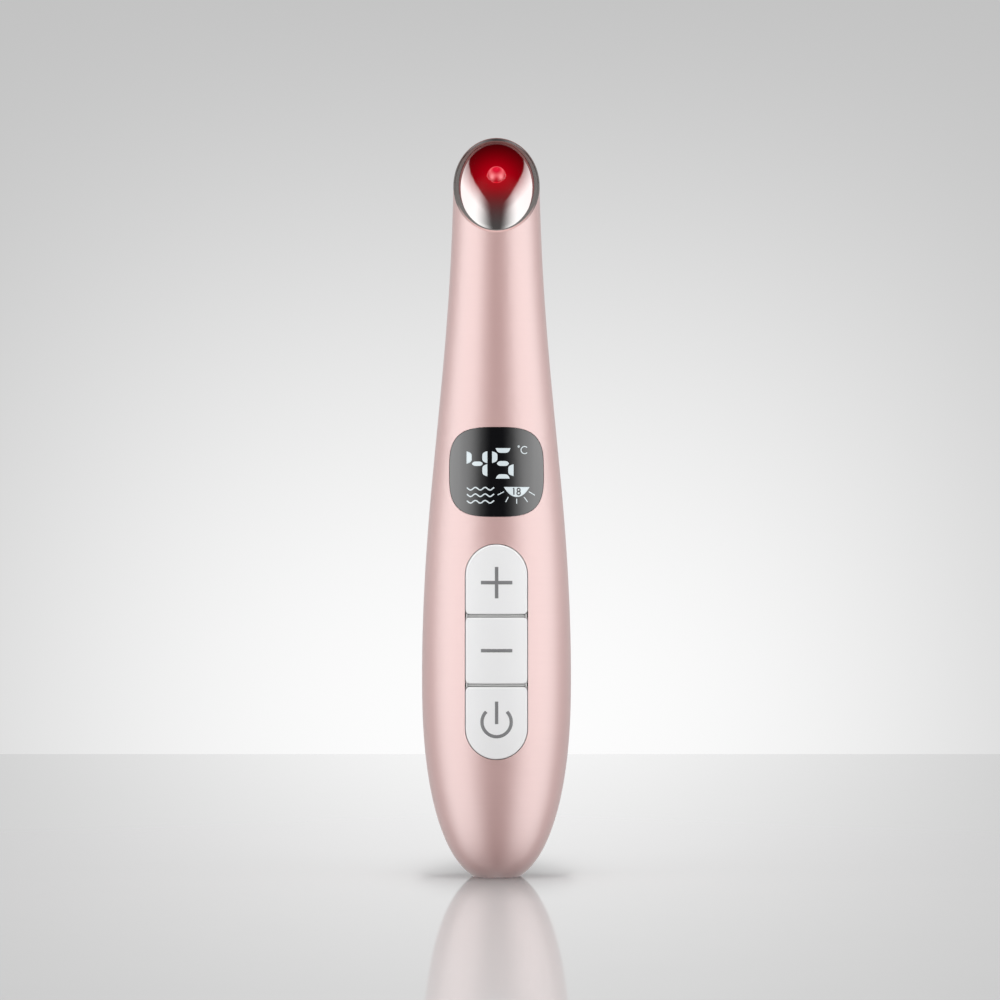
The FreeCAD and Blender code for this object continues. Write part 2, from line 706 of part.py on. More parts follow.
def display_window():
    """Smoked lens, flush with the handle and curved like it."""
    return slab_across(squircle(0), -FAR, 0).common(body(0)).cut(body(WINDOW_THICKNESS))


def window_tape():
    """Die-cut adhesive ring between the window and its ledge."""
    ring = slab_across(squircle(FIT), -FAR, 0).cut(slab_across(squircle(WINDOW_LEDGE - FIT), -FAR, 0))
    return ring.common(body(WINDOW_THICKNESS)).cut(body(WINDOW_THICKNESS + WINDOW_TAPE))


def display_module():
    """White block of the segment display, with a light well for each segment of its two digits."""
    block = box(-DISPLAY_WIDTH / 2, DISPLAY_WIDTH / 2, -FAR, BOARD_FRONT,
                WINDOW_CENTRE - DISPLAY_HEIGHT / 2, WINDOW_CENTRE + DISPLAY_HEIGHT / 2)
    block = block.common(body(WALL + FIT))
    y0 = -FAR
    y1 = front_y(WINDOW_CENTRE) + WALL + FIT + DIGIT_WELL_DEPTH
    half_w = DIGIT_WIDTH / 2
    half_h = DIGIT_HEIGHT / 2
    stroke = DIGIT_STROKE
    for centre in DIGIT_CENTRES:
        wells = []
        for level in (-1, 0, 1):
            z = DIGIT_CENTRE_HEIGHT + level * (half_h - stroke / 2)
            wells.append(box(centre - half_w + stroke, centre + half_w - stroke, y0, y1,
                             z - stroke / 2, z + stroke / 2))
        for side in (-1, 1):
            for level in (-1, 1):
                x = centre + side * (half_w - stroke / 2)
                z = DIGIT_CENTRE_HEIGHT + level * half_h / 2
                reach = half_h / 2 - stroke * 0.75
                wells.append(box(x - stroke / 2 + FIT, x + stroke / 2 - FIT, y0, y1, z - reach, z + reach))
        block = block.cut(Part.Compound(wells))
    return block


# ---- Keys

def key_ranges():
    """Lowest and highest point and end radii of the three keys, from the bottom: power, minus, plus."""
    half = KEYPAD_WIDTH / 2
    low_groove, high_groove = KEY_GROOVES
    gap = KEY_GAP / 2
    return {
        "power": (KEYPAD_LOW, low_groove - gap, half, KEY_CORNER),
        "minus": (low_groove + gap, high_groove - gap, KEY_CORNER, KEY_CORNER),
        "plus": (high_groove + gap, KEYPAD_HIGH, KEY_CORNER, half),
    }


def key_centre(name):
    """Height of a key's post and switch: the round-ended keys are pressed in the middle of their symbol."""
    low, high, low_radius, high_radius = key_ranges()[name]
    return (low + high) / 2 - (low_radius - high_radius) * KEY_POST_SHIFT


def plunger_top(name):
    return BOARD_FRONT - SWITCH_HEIGHT - PLUNGER_HEIGHT


def key_cap(name):
    """One key: a curved skin with a skirt, a retaining flange behind the shell and a post.

    The minus key, between the other two, also has a sunk lip at both ends that closes the grooves.
    """
    low, high, low_radius, high_radius = key_ranges()[name]
    half = KEYPAD_WIDTH / 2
    column = slab_across(rounded(half, low, high, low_radius, high_radius), -FAR, BOARD_FRONT)
    cap = column.common(body(-KEY_PROUD))
    rim = [e for e in cap.Edges if e.BoundBox.YMax < BOARD_FRONT - WALL]
    cap = cap.makeFillet(KEY_EDGE_ROUND, rim)
    flange_top = WALL + FIT
    flange_low = flange_top + KEY_FLANGE
    cap = cap.cut(body(flange_low))
    hollow = slab_across(rounded(half - KEY_SKIRT, low + KEY_SKIRT, high - KEY_SKIRT,
                                 max(low_radius - KEY_SKIRT, KEY_CORNER / 2),
                                 max(high_radius - KEY_SKIRT, KEY_CORNER / 2)), -FAR, BOARD_FRONT)
    cap = cap.cut(hollow.common(body(KEY_SKIN - KEY_PROUD)))
    wide = half + KEY_FLANGE
    rounded_low = low_radius > KEY_CORNER
    rounded_high = high_radius > KEY_CORNER
    brim = slab_across(rounded(wide, low - (KEY_FLANGE if rounded_low else 0),
                               high + (KEY_FLANGE if rounded_high else 0),
                               low_radius + (KEY_FLANGE if rounded_low else 0),
                               high_radius + (KEY_FLANGE if rounded_high else 0)), -FAR, BOARD_FRONT)
    brim = brim.cut(hollow)
    cap = cap.fuse(brim.common(body(flange_top)).cut(body(flange_low)))
    if not rounded_low and not rounded_high:
        reach = KEY_GAP - KEY_CLEARANCE
        lip = slab_across(rounded(half, low - reach, high + reach, KEY_CORNER, KEY_CORNER), -FAR, BOARD_FRONT)
        cap = cap.fuse(lip.cut(hollow).common(body(KEY_GROOVE_DEPTH)).cut(body(flange_low)))
    z = key_centre(name)
    post = rod(KEY_POST, Vector(0, plunger_top(name), z), Vector(0, front_y(z) + KEY_SKIN / 2, z))
    return cap.fuse(post)


def switch_base(name):
    """Body of a push switch on the board, with a round well for its plunger."""
    z = key_centre(name)
    half = SWITCH_SIDE / 2
    top = BOARD_FRONT - SWITCH_HEIGHT
    block = box(-half, half, top, BOARD_FRONT, z - half, z + half)
    upright = [e for e in block.Edges if abs(e.tangentAt(e.FirstParameter).y) > 0.99]
    block = block.makeChamfer(KEY_CORNER, upright)
    depth = PLUNGER_BURIED + KEY_TRAVEL + SWITCH_SLACK
    well = rod(PLUNGER_DIAMETER + 2 * RUNNING_FIT, Vector(0, top + depth, z), Vector(0, top - FIT, z))
    return block.cut(well)


def switch_plunger(name):
    z = key_centre(name)
    top = plunger_top(name)
    return rod(PLUNGER_DIAMETER, Vector(0, top + PLUNGER_HEIGHT + PLUNGER_BURIED, z), Vector(0, top, z))


# ---- Boards, chassis and cell

CHASSIS_FRONT = BOARD_BACK + CHASSIS_GAP
CHASSIS_BACK = CHASSIS_FRONT + CHASSIS_PLATE
CELL_Y = CHASSIS_BACK + FIT + CELL_DIAMETER / 2
CELL_HIGH = CELL_LOW + CELL_LENGTH


def main_board():
    outline = rounded(BOARD_WIDTH / 2, BOARD_LOW, BOARD_HIGH, BOARD_CORNER, BOARD_CORNER)
    board = slab_across(outline, BOARD_FRONT, BOARD_BACK)
    for x, z in CHASSIS_SCREWS:
        start = Vector(x, BOARD_FRONT - FIT, z)
        board = board.cut(rod(SCREW_SHANK + 2 * FIT, start, Vector(x, BOARD_BACK + FIT, z)))
    return board


def board_chips():
    """Controller, charger, display driver and their small parts on the back of the main board."""
    chips = []
    for x, z, width, height in (DISPLAY_DRIVER, HEATER_SWITCH, CONTROLLER, CHARGER, REGULATOR, CELL_GUARD):
        chips.append(box(x - width / 2, x + width / 2, BOARD_BACK, BOARD_BACK + CHIP_HEIGHT,
                         z - height / 2, z + height / 2))
    return Part.Compound(chips)


def inner_chassis():
    """Moulded tray between the board and the cell, with standoffs, clips round the cell and end stops."""
    half = BOARD_WIDTH / 2
    outline = rounded(half, CHASSIS_LOW, CHASSIS_HIGH, BOARD_CORNER, BOARD_CORNER)
    tray = slab_across(outline, CHASSIS_FRONT, CHASSIS_BACK)
    inner = CELL_DIAMETER / 2 + FIT
    outer = inner + CELL_CLIP_THICKNESS
    reach = box(-FAR, FAR, CHASSIS_FRONT, CELL_Y + CELL_CLIP_WRAP, 0, FAR * 2)
    for z in CELL_CLIP_HEIGHTS:
        low = Vector(0, CELL_Y, z - CELL_CLIP_WIDTH / 2)
        ring = rod(2 * outer, low, low + UP * CELL_CLIP_WIDTH)
        tray = tray.fuse(ring.common(reach))
    for z in (CELL_LOW - FIT - CELL_STOP - CELL_TAB, CELL_HIGH + FIT + CELL_TAB):
        stop = box(-CELL_STOP_WIDTH / 2, CELL_STOP_WIDTH / 2, CHASSIS_FRONT, CHASSIS_BACK + CELL_STOP_DEPTH,
                   z, z + CELL_STOP)
        tray = tray.fuse(stop)
    tray = tray.cut(rod(2 * inner, Vector(0, CELL_Y, CELL_LOW - FIT), Vector(0, CELL_Y, CELL_HIGH + FIT)))
    for x, z in CHASSIS_SCREWS:
        foot = Vector(x, BOARD_BACK, z)
        tray = tray.fuse(rod(BOSS_DIAMETER, foot, foot + BACK * (CHASSIS_GAP + CHASSIS_PLATE)))
        tray = tray.cut(rod(SCREW_SHANK + 2 * FIT, foot - BACK, foot + BACK * (SCREW_BITE + 1)))
    return tray


def chassis_screws():
    """Four screws from the tray's back, through the board, into the front shell's bosses."""
    length = CHASSIS_BACK - BOARD_FRONT + SCREW_BITE
    return Part.Compound([screw(Vector(x, CHASSIS_BACK, z), FRONT, length) for x, z in CHASSIS_SCREWS])


def round_cell():
    """Rechargeable cell with bevelled ends."""
    cell = rod(CELL_DIAMETER, Vector(0, CELL_Y, CELL_LOW), Vector(0, CELL_Y, CELL_HIGH))
    rims = [e for e in cell.Edges if isinstance(e.Curve, Part.Circle)]
    return cell.makeChamfer(CELL_BEVEL, rims)


def cell_tabs():
    """Nickel tabs welded to both ends of the cell."""
    half = CELL_TAB_WIDTH / 2
    tabs = []
    for z in (CELL_LOW - CELL_TAB, CELL_HIGH):
        tabs.append(box(-half, half, CELL_Y - half, CELL_Y + CELL_TAB_REACH, z, z + CELL_TAB))
    return Part.Compound(tabs)


# ---- Motor

def motor_can():
    """Small direct-current motor with a bush at its top and a well for the shaft."""
    low = Vector(0, MOTOR_AXIS_Y, MOTOR_LOW)
    high = Vector(0, MOTOR_AXIS_Y, MOTOR_HIGH)
    bush_top = high + UP * BUSH_HEIGHT
    flat = MOTOR_ACROSS_FLATS / 2
    can = rod(MOTOR_DIAMETER, low, high).common(box(-flat, flat, -FAR, FAR, 0, WAND_HEIGHT))
    can = can.fuse(rod(BUSH_DIAMETER, high, bush_top))
    return can.cut(rod(SHAFT_DIAMETER + 2 * RUNNING_FIT, high - UP * (SHAFT_BURIED + FIT), bush_top))


WEIGHT_LOW = MOTOR_HIGH + BUSH_HEIGHT + WEIGHT_GAP


def motor_shaft():
    start = Vector(0, MOTOR_AXIS_Y, MOTOR_HIGH - SHAFT_BURIED)
    return rod(SHAFT_DIAMETER, start, Vector(0, MOTOR_AXIS_Y, WEIGHT_LOW + WEIGHT_LENGTH + FIT))


def eccentric_weight():
    """Half-round weight on the shaft. It is pressed on, so its bore is the shaft's size."""
    low = Vector(0, MOTOR_AXIS_Y, WEIGHT_LOW)
    high = low + UP * WEIGHT_LENGTH
    sector = rod(WEIGHT_DIAMETER, low, high).common(box(-FAR, FAR, -FAR, MOTOR_AXIS_Y, 0, WAND_HEIGHT))
    return sector.fuse(rod(WEIGHT_HUB, low, high)).cut(rod(SHAFT_DIAMETER, low, high))


def motor_sleeve():
    """Rubber tube that holds the motor in the webs of the neck."""
    low = Vector(0, MOTOR_AXIS_Y, MOTOR_LOW + (MOTOR_LENGTH - SLEEVE_LENGTH) / 2)
    high = low + UP * SLEEVE_LENGTH
    return rod(2 * SLEEVE_RADIUS - 2 * FIT, low, high).cut(rod(MOTOR_DIAMETER, low, high))


# ---- Charging socket

def socket_shell():
    high = SOCKET_LOW + SOCKET_LENGTH
    return socket_outline(0, SOCKET_LOW, high).cut(socket_outline(-SOCKET_SHELL, SOCKET_LOW - 1, high + 1))


def socket_tongue():
    """Moulded insert that closes the back of the socket and carries its thin tongue."""
    high = SOCKET_LOW + SOCKET_LENGTH
    root = high - SOCKET_INSERT
    block = socket_outline(-SOCKET_SHELL, root, high)
    half = TONGUE_THICKNESS / 2
    tongue = box(-TONGUE_WIDTH / 2, TONGUE_WIDTH / 2, -half, half, root - TONGUE_LENGTH, root + SMALL)
    return block.fuse(tongue)


def charge_screw_seats():
    """Points on the charging board's face under the heads of its two screws."""
    half = CHARGE_SCREW_SPREAD / 2
    return [Vector(x, CHARGE_BOARD_FRONT, CHARGE_SCREW_HEIGHT) for x in (-half, half)]


def charge_board():
    half = CHARGE_BOARD_WIDTH / 2
    outline = rounded(half, CHARGE_BOARD_LOW, CHARGE_BOARD_HIGH, BOARD_CORNER, BOARD_CORNER)
    board = slab_across(outline, CHARGE_BOARD_FRONT, CHARGE_BOARD_BACK)
    for seat in charge_screw_seats():
        board = board.cut(rod(SCREW_SHANK + 2 * FIT, seat, seat + BACK * CHARGE_BOARD_THICKNESS))
    return board


def charge_board_screws():
    length = CHARGE_BOARD_THICKNESS + SCREW_BITE
    return Part.Compound([screw(seat, BACK, length) for seat in charge_screw_seats()])


# ---- Wires

def motor_leads():
    """The motor's two wires in one sleeve, down to the main board."""
    return wire([Vector(0, MOTOR_AXIS_Y, MOTOR_LOW), Vector(0, MOTOR_AXIS_Y, MOTOR_LOW - LEAD_RUN),
                 Vector(-LEAD_PLACE, BOARD_BACK + LEAD_RUN, BOARD_HIGH - LEAD_RUN),
                 Vector(-LEAD_PLACE, BOARD_BACK, BOARD_HIGH - LEAD_RUN)], SLEEVED_DIAMETER)


def head_harness():
    """Bundle of the heater's, thermistor's and light's wires, up the neck and into the carrier."""
    end = FACE_PLACE.multVec(UP * (LIGHT_BOARD_TOP - LIGHT_BOARD_THICKNESS))
    below = FACE_PLACE.multVec(UP * (-HEAD_SINK - CARRIER_DEPTH - LEAD_RUN))
    beside = Vector(SLEEVE_RADIUS + SLEEVED_DIAMETER / 2, MOTOR_AXIS_Y, MOTOR_LOW)
    route = [Vector(LEAD_PLACE, BOARD_BACK, BOARD_HIGH - LEAD_RUN),
             Vector(LEAD_PLACE, BOARD_BACK + HARNESS_START, BOARD_HIGH - LEAD_RUN)]
    route += [beside + Vector(*step) for step in HARNESS_ROUTE]
    return wire(route + [below, end], SLEEVED_DIAMETER)


def cell_leads():
    """One lead from the upper tab and one from the lower tab, each to its end of the main board."""
    top = CELL_HIGH + CELL_TAB
    bottom = CELL_LOW - CELL_TAB
    upper = [Vector(0, CELL_Y + y, top + z) for y, z in UPPER_LEAD_ROUTE]
    upper += [Vector(0, y, top + UPPER_LEAD_RISE) for y in (BOARD_BACK + LEAD_RUN, BOARD_BACK)]
    lower = [Vector(0, CELL_Y + y, bottom + z) for y, z in LOWER_LEAD_ROUTE]
    lower += [Vector(0, y, BOARD_LOW + LOWER_LEAD_PLACE) for y in (BOARD_BACK + LEAD_RUN, BOARD_BACK)]
    return Part.Compound([wire(upper, LEAD_DIAMETER), wire(lower, LEAD_DIAMETER)])


def charge_leads():
    """The charging board's wires in one sleeve, across to the main board."""
    high = CHARGE_BOARD_HIGH - SLEEVED_DIAMETER
    low = BOARD_LOW + SLEEVED_DIAMETER
    x = CHARGE_LEAD_PLACE
    return wire([Vector(x, CHARGE_BOARD_FRONT, high), Vector(x, CHARGE_BOARD_FRONT - CHARGE_LEAD_RUN, high),
                 Vector(x, BOARD_BACK + CHARGE_LEAD_RUN, low), Vector(x, BOARD_BACK, low)], SLEEVED_DIAMETER)


# ---- Nodes

NODES = {
    "front_shell": front_shell, "rear_shell": rear_shell, "massage_head": massage_head,
    "head_gasket": head_gasket, "light_lens": light_lens, "red_light": red_light,
    "light_board": light_board, "heater_foil": heater_foil, "thermistor": thermistor,
    "head_carrier": head_carrier, "carrier_screws": carrier_screws,
    "display_window": display_window, "window_tape": window_tape, "display_module": display_module,
    "main_board": main_board, "board_chips": board_chips, "inner_chassis": inner_chassis,
    "chassis_screws": chassis_screws, "round_cell": round_cell, "cell_tabs": cell_tabs,
    "motor_can": motor_can, "motor_shaft": motor_shaft, "eccentric_weight": eccentric_weight,
    "motor_sleeve": motor_sleeve, "socket_shell": socket_shell, "socket_tongue": socket_tongue,
    "charge_board": charge_board, "charge_board_screws": charge_board_screws,
    "motor_leads": motor_leads, "head_harness": head_harness, "cell_leads": cell_leads,
    "charge_leads": charge_leads,
}


def export(name, shape):
    shape.exportStep("parts/" + name + ".step")


os.makedirs("parts", exist_ok=True)
for node, make in NODES.items():
    export(node, make())
for key in key_ranges():
    export(key + "_key", key_cap(key))
    export(key + "_switch_base", switch_base(key))
    export(key + "_switch_plunger", switch_plunger(key))
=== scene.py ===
import math

import bpy
from mathutils import Matrix, Vector


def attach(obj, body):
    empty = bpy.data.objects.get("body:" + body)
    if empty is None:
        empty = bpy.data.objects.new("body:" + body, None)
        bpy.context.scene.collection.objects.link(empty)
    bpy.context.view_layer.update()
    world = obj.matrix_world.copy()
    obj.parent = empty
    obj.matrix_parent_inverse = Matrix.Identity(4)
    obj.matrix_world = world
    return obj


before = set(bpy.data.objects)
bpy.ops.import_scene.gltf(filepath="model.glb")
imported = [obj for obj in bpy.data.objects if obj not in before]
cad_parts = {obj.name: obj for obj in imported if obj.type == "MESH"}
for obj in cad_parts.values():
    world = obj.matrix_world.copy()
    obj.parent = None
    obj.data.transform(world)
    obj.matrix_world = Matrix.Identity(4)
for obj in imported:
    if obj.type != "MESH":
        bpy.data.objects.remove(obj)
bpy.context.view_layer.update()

# ---- Handle
# The handle is two halves moulded in hard plastic and sprayed with a satin rose lacquer that carries a
# fine metal flake. The halves meet in a tongue-and-groove seam down both sides, and inner clips hold
# them. At the mouth the lip and the inside of its well are painted dark grey as shade, with a darker
# painted shadow line at the lip's outer edge, and towards the top the grey turns to a painted red glow
# of the head's light.

MM = 0.001
ROSE = (0.590, 0.368, 0.352, 1)
ROSE_PALE = (0.625, 0.398, 0.380, 1)
ROSE_ROUGHNESS = 0.36
LACQUER_IOR = 1.7
LACQUER_HAZE = 0.32
# Painted at the mouth: shade, a darker shadow line at the lip's edge, and a red glow of the head's light
MOUTH_SHADE = (0.13, 0.12, 0.115, 1)
PAINTED_RIM_GLOW = (0.165, 0.070, 0.062, 1)
SHADOW_LINE = (0.035, 0.030, 0.030, 1)
MOUTH_CENTRE = Vector((0, -2.9675, 138.1945)) * MM
MOUTH_FACING = Vector((0, -0.7649, 0.6441))
LIP_DEPTH = 0.13 * MM
LINE_DEPTH = 0.03 * MM
WELL_DEPTH = 2.5 * MM
MOUTH_LOW, MOUTH_HIGH = 129.5 * MM, 134.0 * MM
GLOW_RIM_LOW, GLOW_RIM_HIGH = 141 * MM, 147 * MM
NECK_AXIS = Vector((0, -2.95, 0)) * MM
NECK_INNER = 8.25 * MM
FLAKE_SIZE = 0.12 * MM
BRUSH_SIZE = 0.5 * MM


class Flow:
    """One socket of a node tree. Each operator adds the Math node that works it out."""

    def __init__(self, tree, socket=None):
        self.tree = tree
        self.socket = socket

    def add(self, kind, settings=None, sockets=None, output=0):
        """Any other node: its settings first, then the value or the link of each of its sockets."""
        node = self.tree.nodes.new(kind)
        for name, value in (settings or {}).items():
            if name == "stops":
                stops = node.color_ramp.elements
                stops[0].position, stops[0].color = value[0]
                stops[1].position, stops[1].color = value[-1]
                for at, colour in value[1:-1]:
                    stops.new(at).color = colour
            else:
                setattr(node, name, value)
        for name, value in (sockets or {}).items():
            if isinstance(value, Flow):
                self.tree.links.new(value.socket, node.inputs[name])
            else:
                node.inputs[name].default_value = value
        return Flow(self.tree, node.outputs[output] if node.outputs else None)

    def math(self, operation, *values):
        return self.add("ShaderNodeMath", {"operation": operation}, dict(enumerate(values)))

    def __add__(self, other):
        return self.math("ADD", self, other)

    def __sub__(self, other):
        return self.math("SUBTRACT", self, other)

    def __rsub__(self, other):
        return self.math("SUBTRACT", other, self)

    def __mul__(self, other):
        return self.math("MULTIPLY", self, other)

    def __truediv__(self, other):
        return self.math("DIVIDE", self, other)

    def __rtruediv__(self, other):
        return self.math("DIVIDE", other, self)

    def __pow__(self, other):
        return self.math("POWER", self, other)

    __radd__ = __add__
    __rmul__ = __mul__


def new_finish(name):
    """An empty material, the start of its tree and the place on the object."""
    material = bpy.data.materials.new(name)
    material.use_nodes = True
    material.node_tree.nodes.clear()
    flow = Flow(material.node_tree)
    return material, flow, flow.add("ShaderNodeTexCoord", output="Object")


def axis(flow, vector, number):
    """One of the three numbers of a vector."""
    return flow.add("ShaderNodeSeparateXYZ", {}, {0: vector}, number)


def distance(flow, place, point):
    """How far a place lies from a point."""
    return flow.add("ShaderNodeVectorMath", {"operation": "DISTANCE"}, {0: place, 1: point}, "Value")


def ramp(flow, value, low, high, start=0.0, end=1.0, kind="LINEAR"):
    """Goes from start to end as the value goes from low to high."""
    return flow.add("ShaderNodeMapRange", {"interpolation_type": kind},
                    {0: value, 1: low, 2: high, 3: start, 4: end})


def bell(flow, value, power=2):
    """1 where the value is 0, falling softly to nothing on both sides."""
    return flow.math("EXPONENT", value ** power * -1)


def noise(flow, place, size, detail=2.0, stretch=(1, 1, 1)):
    """Even noise from 0 to 1 whose grains are about size across before they are stretched."""
    scaled = flow.add("ShaderNodeMapping", {}, {"Vector": place, "Scale": [1 / s for s in stretch]})
    return flow.add("ShaderNodeTexNoise", {}, {"Vector": scaled, "Scale": 1 / size, "Detail": detail})


def blend(flow, share, low, high):
    """A colour between low and high."""
    return flow.add("ShaderNodeMix", {"data_type": "RGBA"}, {0: share, 6: low, 7: high}, 2)


def bump(flow, height, depth, strength=1.0):
    """A fine relief in the surface."""
    return flow.add("ShaderNodeBump", {}, {"Height": height, "Distance": depth, "Strength": strength})


def principled(flow, sockets):
    """The shader that ends a finish."""
    shader = flow.add("ShaderNodeBsdfPrincipled", {}, sockets)
    flow.add("ShaderNodeOutputMaterial", {}, {"Surface": shader})


def dress(material, *names):
    """Gives its finish to each CAD piece that is kept as it is."""
    for name in names:
        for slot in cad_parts[name].material_slots:
            slot.material = material


rose_lacquer, flow, place = new_finish("rose lacquer")
flake = noise(flow, place, FLAKE_SIZE, 1.0)
brushed = noise(flow, place, BRUSH_SIZE, 3.0, (30, 30, 1))
# Painted shade: the lip round the mouth and the inside of its well are dark grey, with a darker painted
# shadow line at the lip's outer edge. Towards the top the grey turns to a painted red glow of the light.
from_mouth = flow.add("ShaderNodeVectorMath", {"operation": "SUBTRACT"}, {0: place, 1: MOUTH_CENTRE})
above = flow.add("ShaderNodeVectorMath", {"operation": "DOT_PRODUCT"},
                 {0: from_mouth, 1: MOUTH_FACING}, "Value")
level = flow.add("ShaderNodeVectorMath", {"operation": "MULTIPLY"}, {0: place, 1: (1, 1, 0)})
inside = flow.math("LESS_THAN", distance(flow, level, NECK_AXIS), NECK_INNER)
lip = flow.math("GREATER_THAN", above, -LIP_DEPTH)
well = inside * flow.math("GREATER_THAN", above, -WELL_DEPTH)
height = axis(flow, place, 2)
painted_shade_share = flow.math("MAXIMUM", lip, well) * ramp(flow, height, MOUTH_LOW, MOUTH_HIGH)
painted_glow = ramp(flow, height, GLOW_RIM_LOW, GLOW_RIM_HIGH)
lacquer = blend(flow, brushed * 0.6 + flake * 0.4, ROSE, ROSE_PALE)
shade_and_glow = blend(flow, painted_glow, MOUTH_SHADE, PAINTED_RIM_GLOW)
edge = blend(flow, flow.math("GREATER_THAN", above, -LINE_DEPTH), SHADOW_LINE, shade_and_glow)
principled(flow, {
    "Base Color": blend(flow, painted_shade_share, lacquer, edge),
    "Roughness": ROSE_ROUGHNESS + (flake - 0.5) * 0.12 + (brushed - 0.5) * 0.05,
    "IOR": LACQUER_IOR,
    "Coat Weight": 1 - painted_shade_share,
    "Coat Roughness": LACQUER_HAZE,
    "Coat IOR": LACQUER_IOR,
    "Normal": bump(flow, flake * 0.5 + brushed, 0.003 * MM, 0.4),
})
dress(rose_lacquer, "front_shell", "rear_shell")

# ---- Massage head
# The head is a zinc casting, polished and chrome plated. It warms the skin. A red glow is painted on the
# plating round the red light in its middle, as emission that fades with distance and lower down. Its
# skirt is clipped and bonded into the mouth of the neck.

LIGHT_CENTRE = Vector((0, -5.00, 139.89)) * MM
GLOW_REACH = 6.0 * MM
GLOW_FALL = 1.3
GLOW_LOW, GLOW_HIGH, GLOW_LEAST = 129.5 * MM, 137.0 * MM, 0.15
GLOW = (0.52, 0.0, 0.008, 1)
PLATING = (0.88, 0.87, 0.86, 1)

chrome, flow, place = new_finish("polished chrome")
# Painted glow: the plating shines red round the light, less with distance and lower down
below = ramp(flow, axis(flow, place, 2), GLOW_LOW, GLOW_HIGH, GLOW_LEAST)
fade = bell(flow, distance(flow, place, LIGHT_CENTRE) / GLOW_REACH, GLOW_FALL) * below
haze = noise(flow, place, 1.5 * MM)
principled(flow, {
    "Base Color": PLATING,
    "Metallic": 1.0,
    "Roughness": 0.04 + haze * 0.03,
    "Emission Color": blend(flow, fade, (0, 0, 0, 1), GLOW),
    "Emission Strength": 1.0,
})
dress(chrome, "massage_head")

# ---- Head gasket
# A soft silicone ring seals the metal head against the mouth of the handle. It is moulded in grey, and
# its edge shows as a narrow band that slopes in to the dome. Towards the top the grey turns to a
# painted red glow of the head's light.

SEAL_GREY, SEAL_PALE = (0.10, 0.092, 0.088, 1), (0.14, 0.13, 0.125, 1)

grey_rubber, flow, place = new_finish("grey silicone")
grain = noise(flow, place, 0.2 * MM)
# Painted glow: towards the top the grey turns red, as the head's light would tint it
painted_glow = ramp(flow, axis(flow, place, 2), GLOW_RIM_LOW, GLOW_RIM_HIGH)
grey = blend(flow, grain, SEAL_GREY, SEAL_PALE)
principled(flow, {
    "Base Color": blend(flow, painted_glow, grey, PAINTED_RIM_GLOW),
    "Roughness": 0.5 + grain * 0.15,
    "Normal": bump(flow, grain, 0.01 * MM),
})
dress(grey_rubber, "head_gasket", "motor_sleeve")

# ---- Red light
# A clear red lens is pressed into the middle of the head, over a light package on a small round board.
# The lens is moulded in acrylic and glows red. A paler ring near its rim and two pale spots low on
# either side are painted highlights in its glow.

LENS_TOP = Vector((0, -6.11, 140.82)) * MM
LENS_REACH = 2.1 * MM
LENS_RED = (0.20, 0.002, 0.006, 1)
LENS_IOR = 1.25
LENS_GLOW_AND_RING_HIGHLIGHT = [
    (0.0, (0.64, 0.006, 0.030, 1)), (0.30, (0.48, 0.010, 0.034, 1)), (0.62, (0.70, 0.120, 0.140, 1)),
    (0.85, (0.42, 0.012, 0.026, 1)), (1.0, (0.32, 0.002, 0.010, 1))]
HIGHLIGHT_SPOTS = [Vector((x, -6.51, 139.41)) * MM for x in (-0.95, 0.95)]
HIGHLIGHT_REACH = 0.55 * MM
HIGHLIGHT_PALE = (1.0, 0.30, 0.32, 1)

red_acrylic, flow, place = new_finish("lit red acrylic")
from_top = distance(flow, place, LENS_TOP) / LENS_REACH
# The lens's red glow, with a painted highlight in the paler ring near its rim
rings = flow.add("ShaderNodeValToRGB", {"stops": LENS_GLOW_AND_RING_HIGHLIGHT}, {"Fac": from_top})
# Two painted highlights, low on either side of the lens
left, right = (bell(flow, distance(flow, place, spot) / HIGHLIGHT_REACH) for spot in HIGHLIGHT_SPOTS)
principled(flow, {
    "Base Color": LENS_RED,
    "Roughness": 0.12,
    "IOR": LENS_IOR,
    "Emission Color": blend(flow, left + right, rings, HIGHLIGHT_PALE),
    "Emission Strength": 0.9,
})
dress(red_acrylic, "light_lens")

white_package, flow, place = new_finish("white light package")
grain = noise(flow, place, 0.3 * MM)
principled(flow, {
    "Base Color": blend(flow, grain, (0.75, 0.74, 0.70, 1), (0.82, 0.81, 0.78, 1)),
    "Roughness": 0.35 + grain * 0.1,
    "Emission Color": (0.6, 0.02, 0.02, 1),
    "Emission Strength": 0.5,
})
dress(white_package, "red_light")

aluminium_board, flow, place = new_finish("aluminium light board")
grain = noise(flow, place, 0.4 * MM, 2.0, (1, 8, 8))
principled(flow, {
    "Base Color": blend(flow, grain, (0.62, 0.62, 0.63, 1), (0.74, 0.74, 0.75, 1)),
    "Metallic": 1.0,
    "Roughness": 0.35 + grain * 0.15,
})
dress(aluminium_board, "light_board")

# ---- Heater
# An etched foil between two films of polyimide is bonded under the dome, with a glass bead thermistor
# beside it. The amber film shows the winding track of the foil.

TRACKS_PER_MM = 0.32

amber_film, flow, place = new_finish("amber heater film")
track = flow.add("ShaderNodeTexWave", {"wave_type": "BANDS", "bands_direction": "X"},
                 {"Vector": place, "Scale": TRACKS_PER_MM / MM, "Distortion": 0.0})
principled(flow, {
    "Base Color": blend(flow, track ** 3, (0.60, 0.26, 0.04, 1), (0.34, 0.16, 0.05, 1)),
    "Roughness": 0.25 + track * 0.1,
    "Normal": bump(flow, track, 0.02 * MM),
})
dress(amber_film, "heater_foil")

glass_bead, flow, place = new_finish("glass bead")
grain = noise(flow, place, 0.5 * MM)
principled(flow, {
    "Base Color": blend(flow, grain, (0.10, 0.22, 0.12, 1), (0.16, 0.30, 0.17, 1)),
    "Roughness": 0.08 + grain * 0.05,
    "Coat Weight": 0.5,
})
dress(glass_bead, "thermistor")


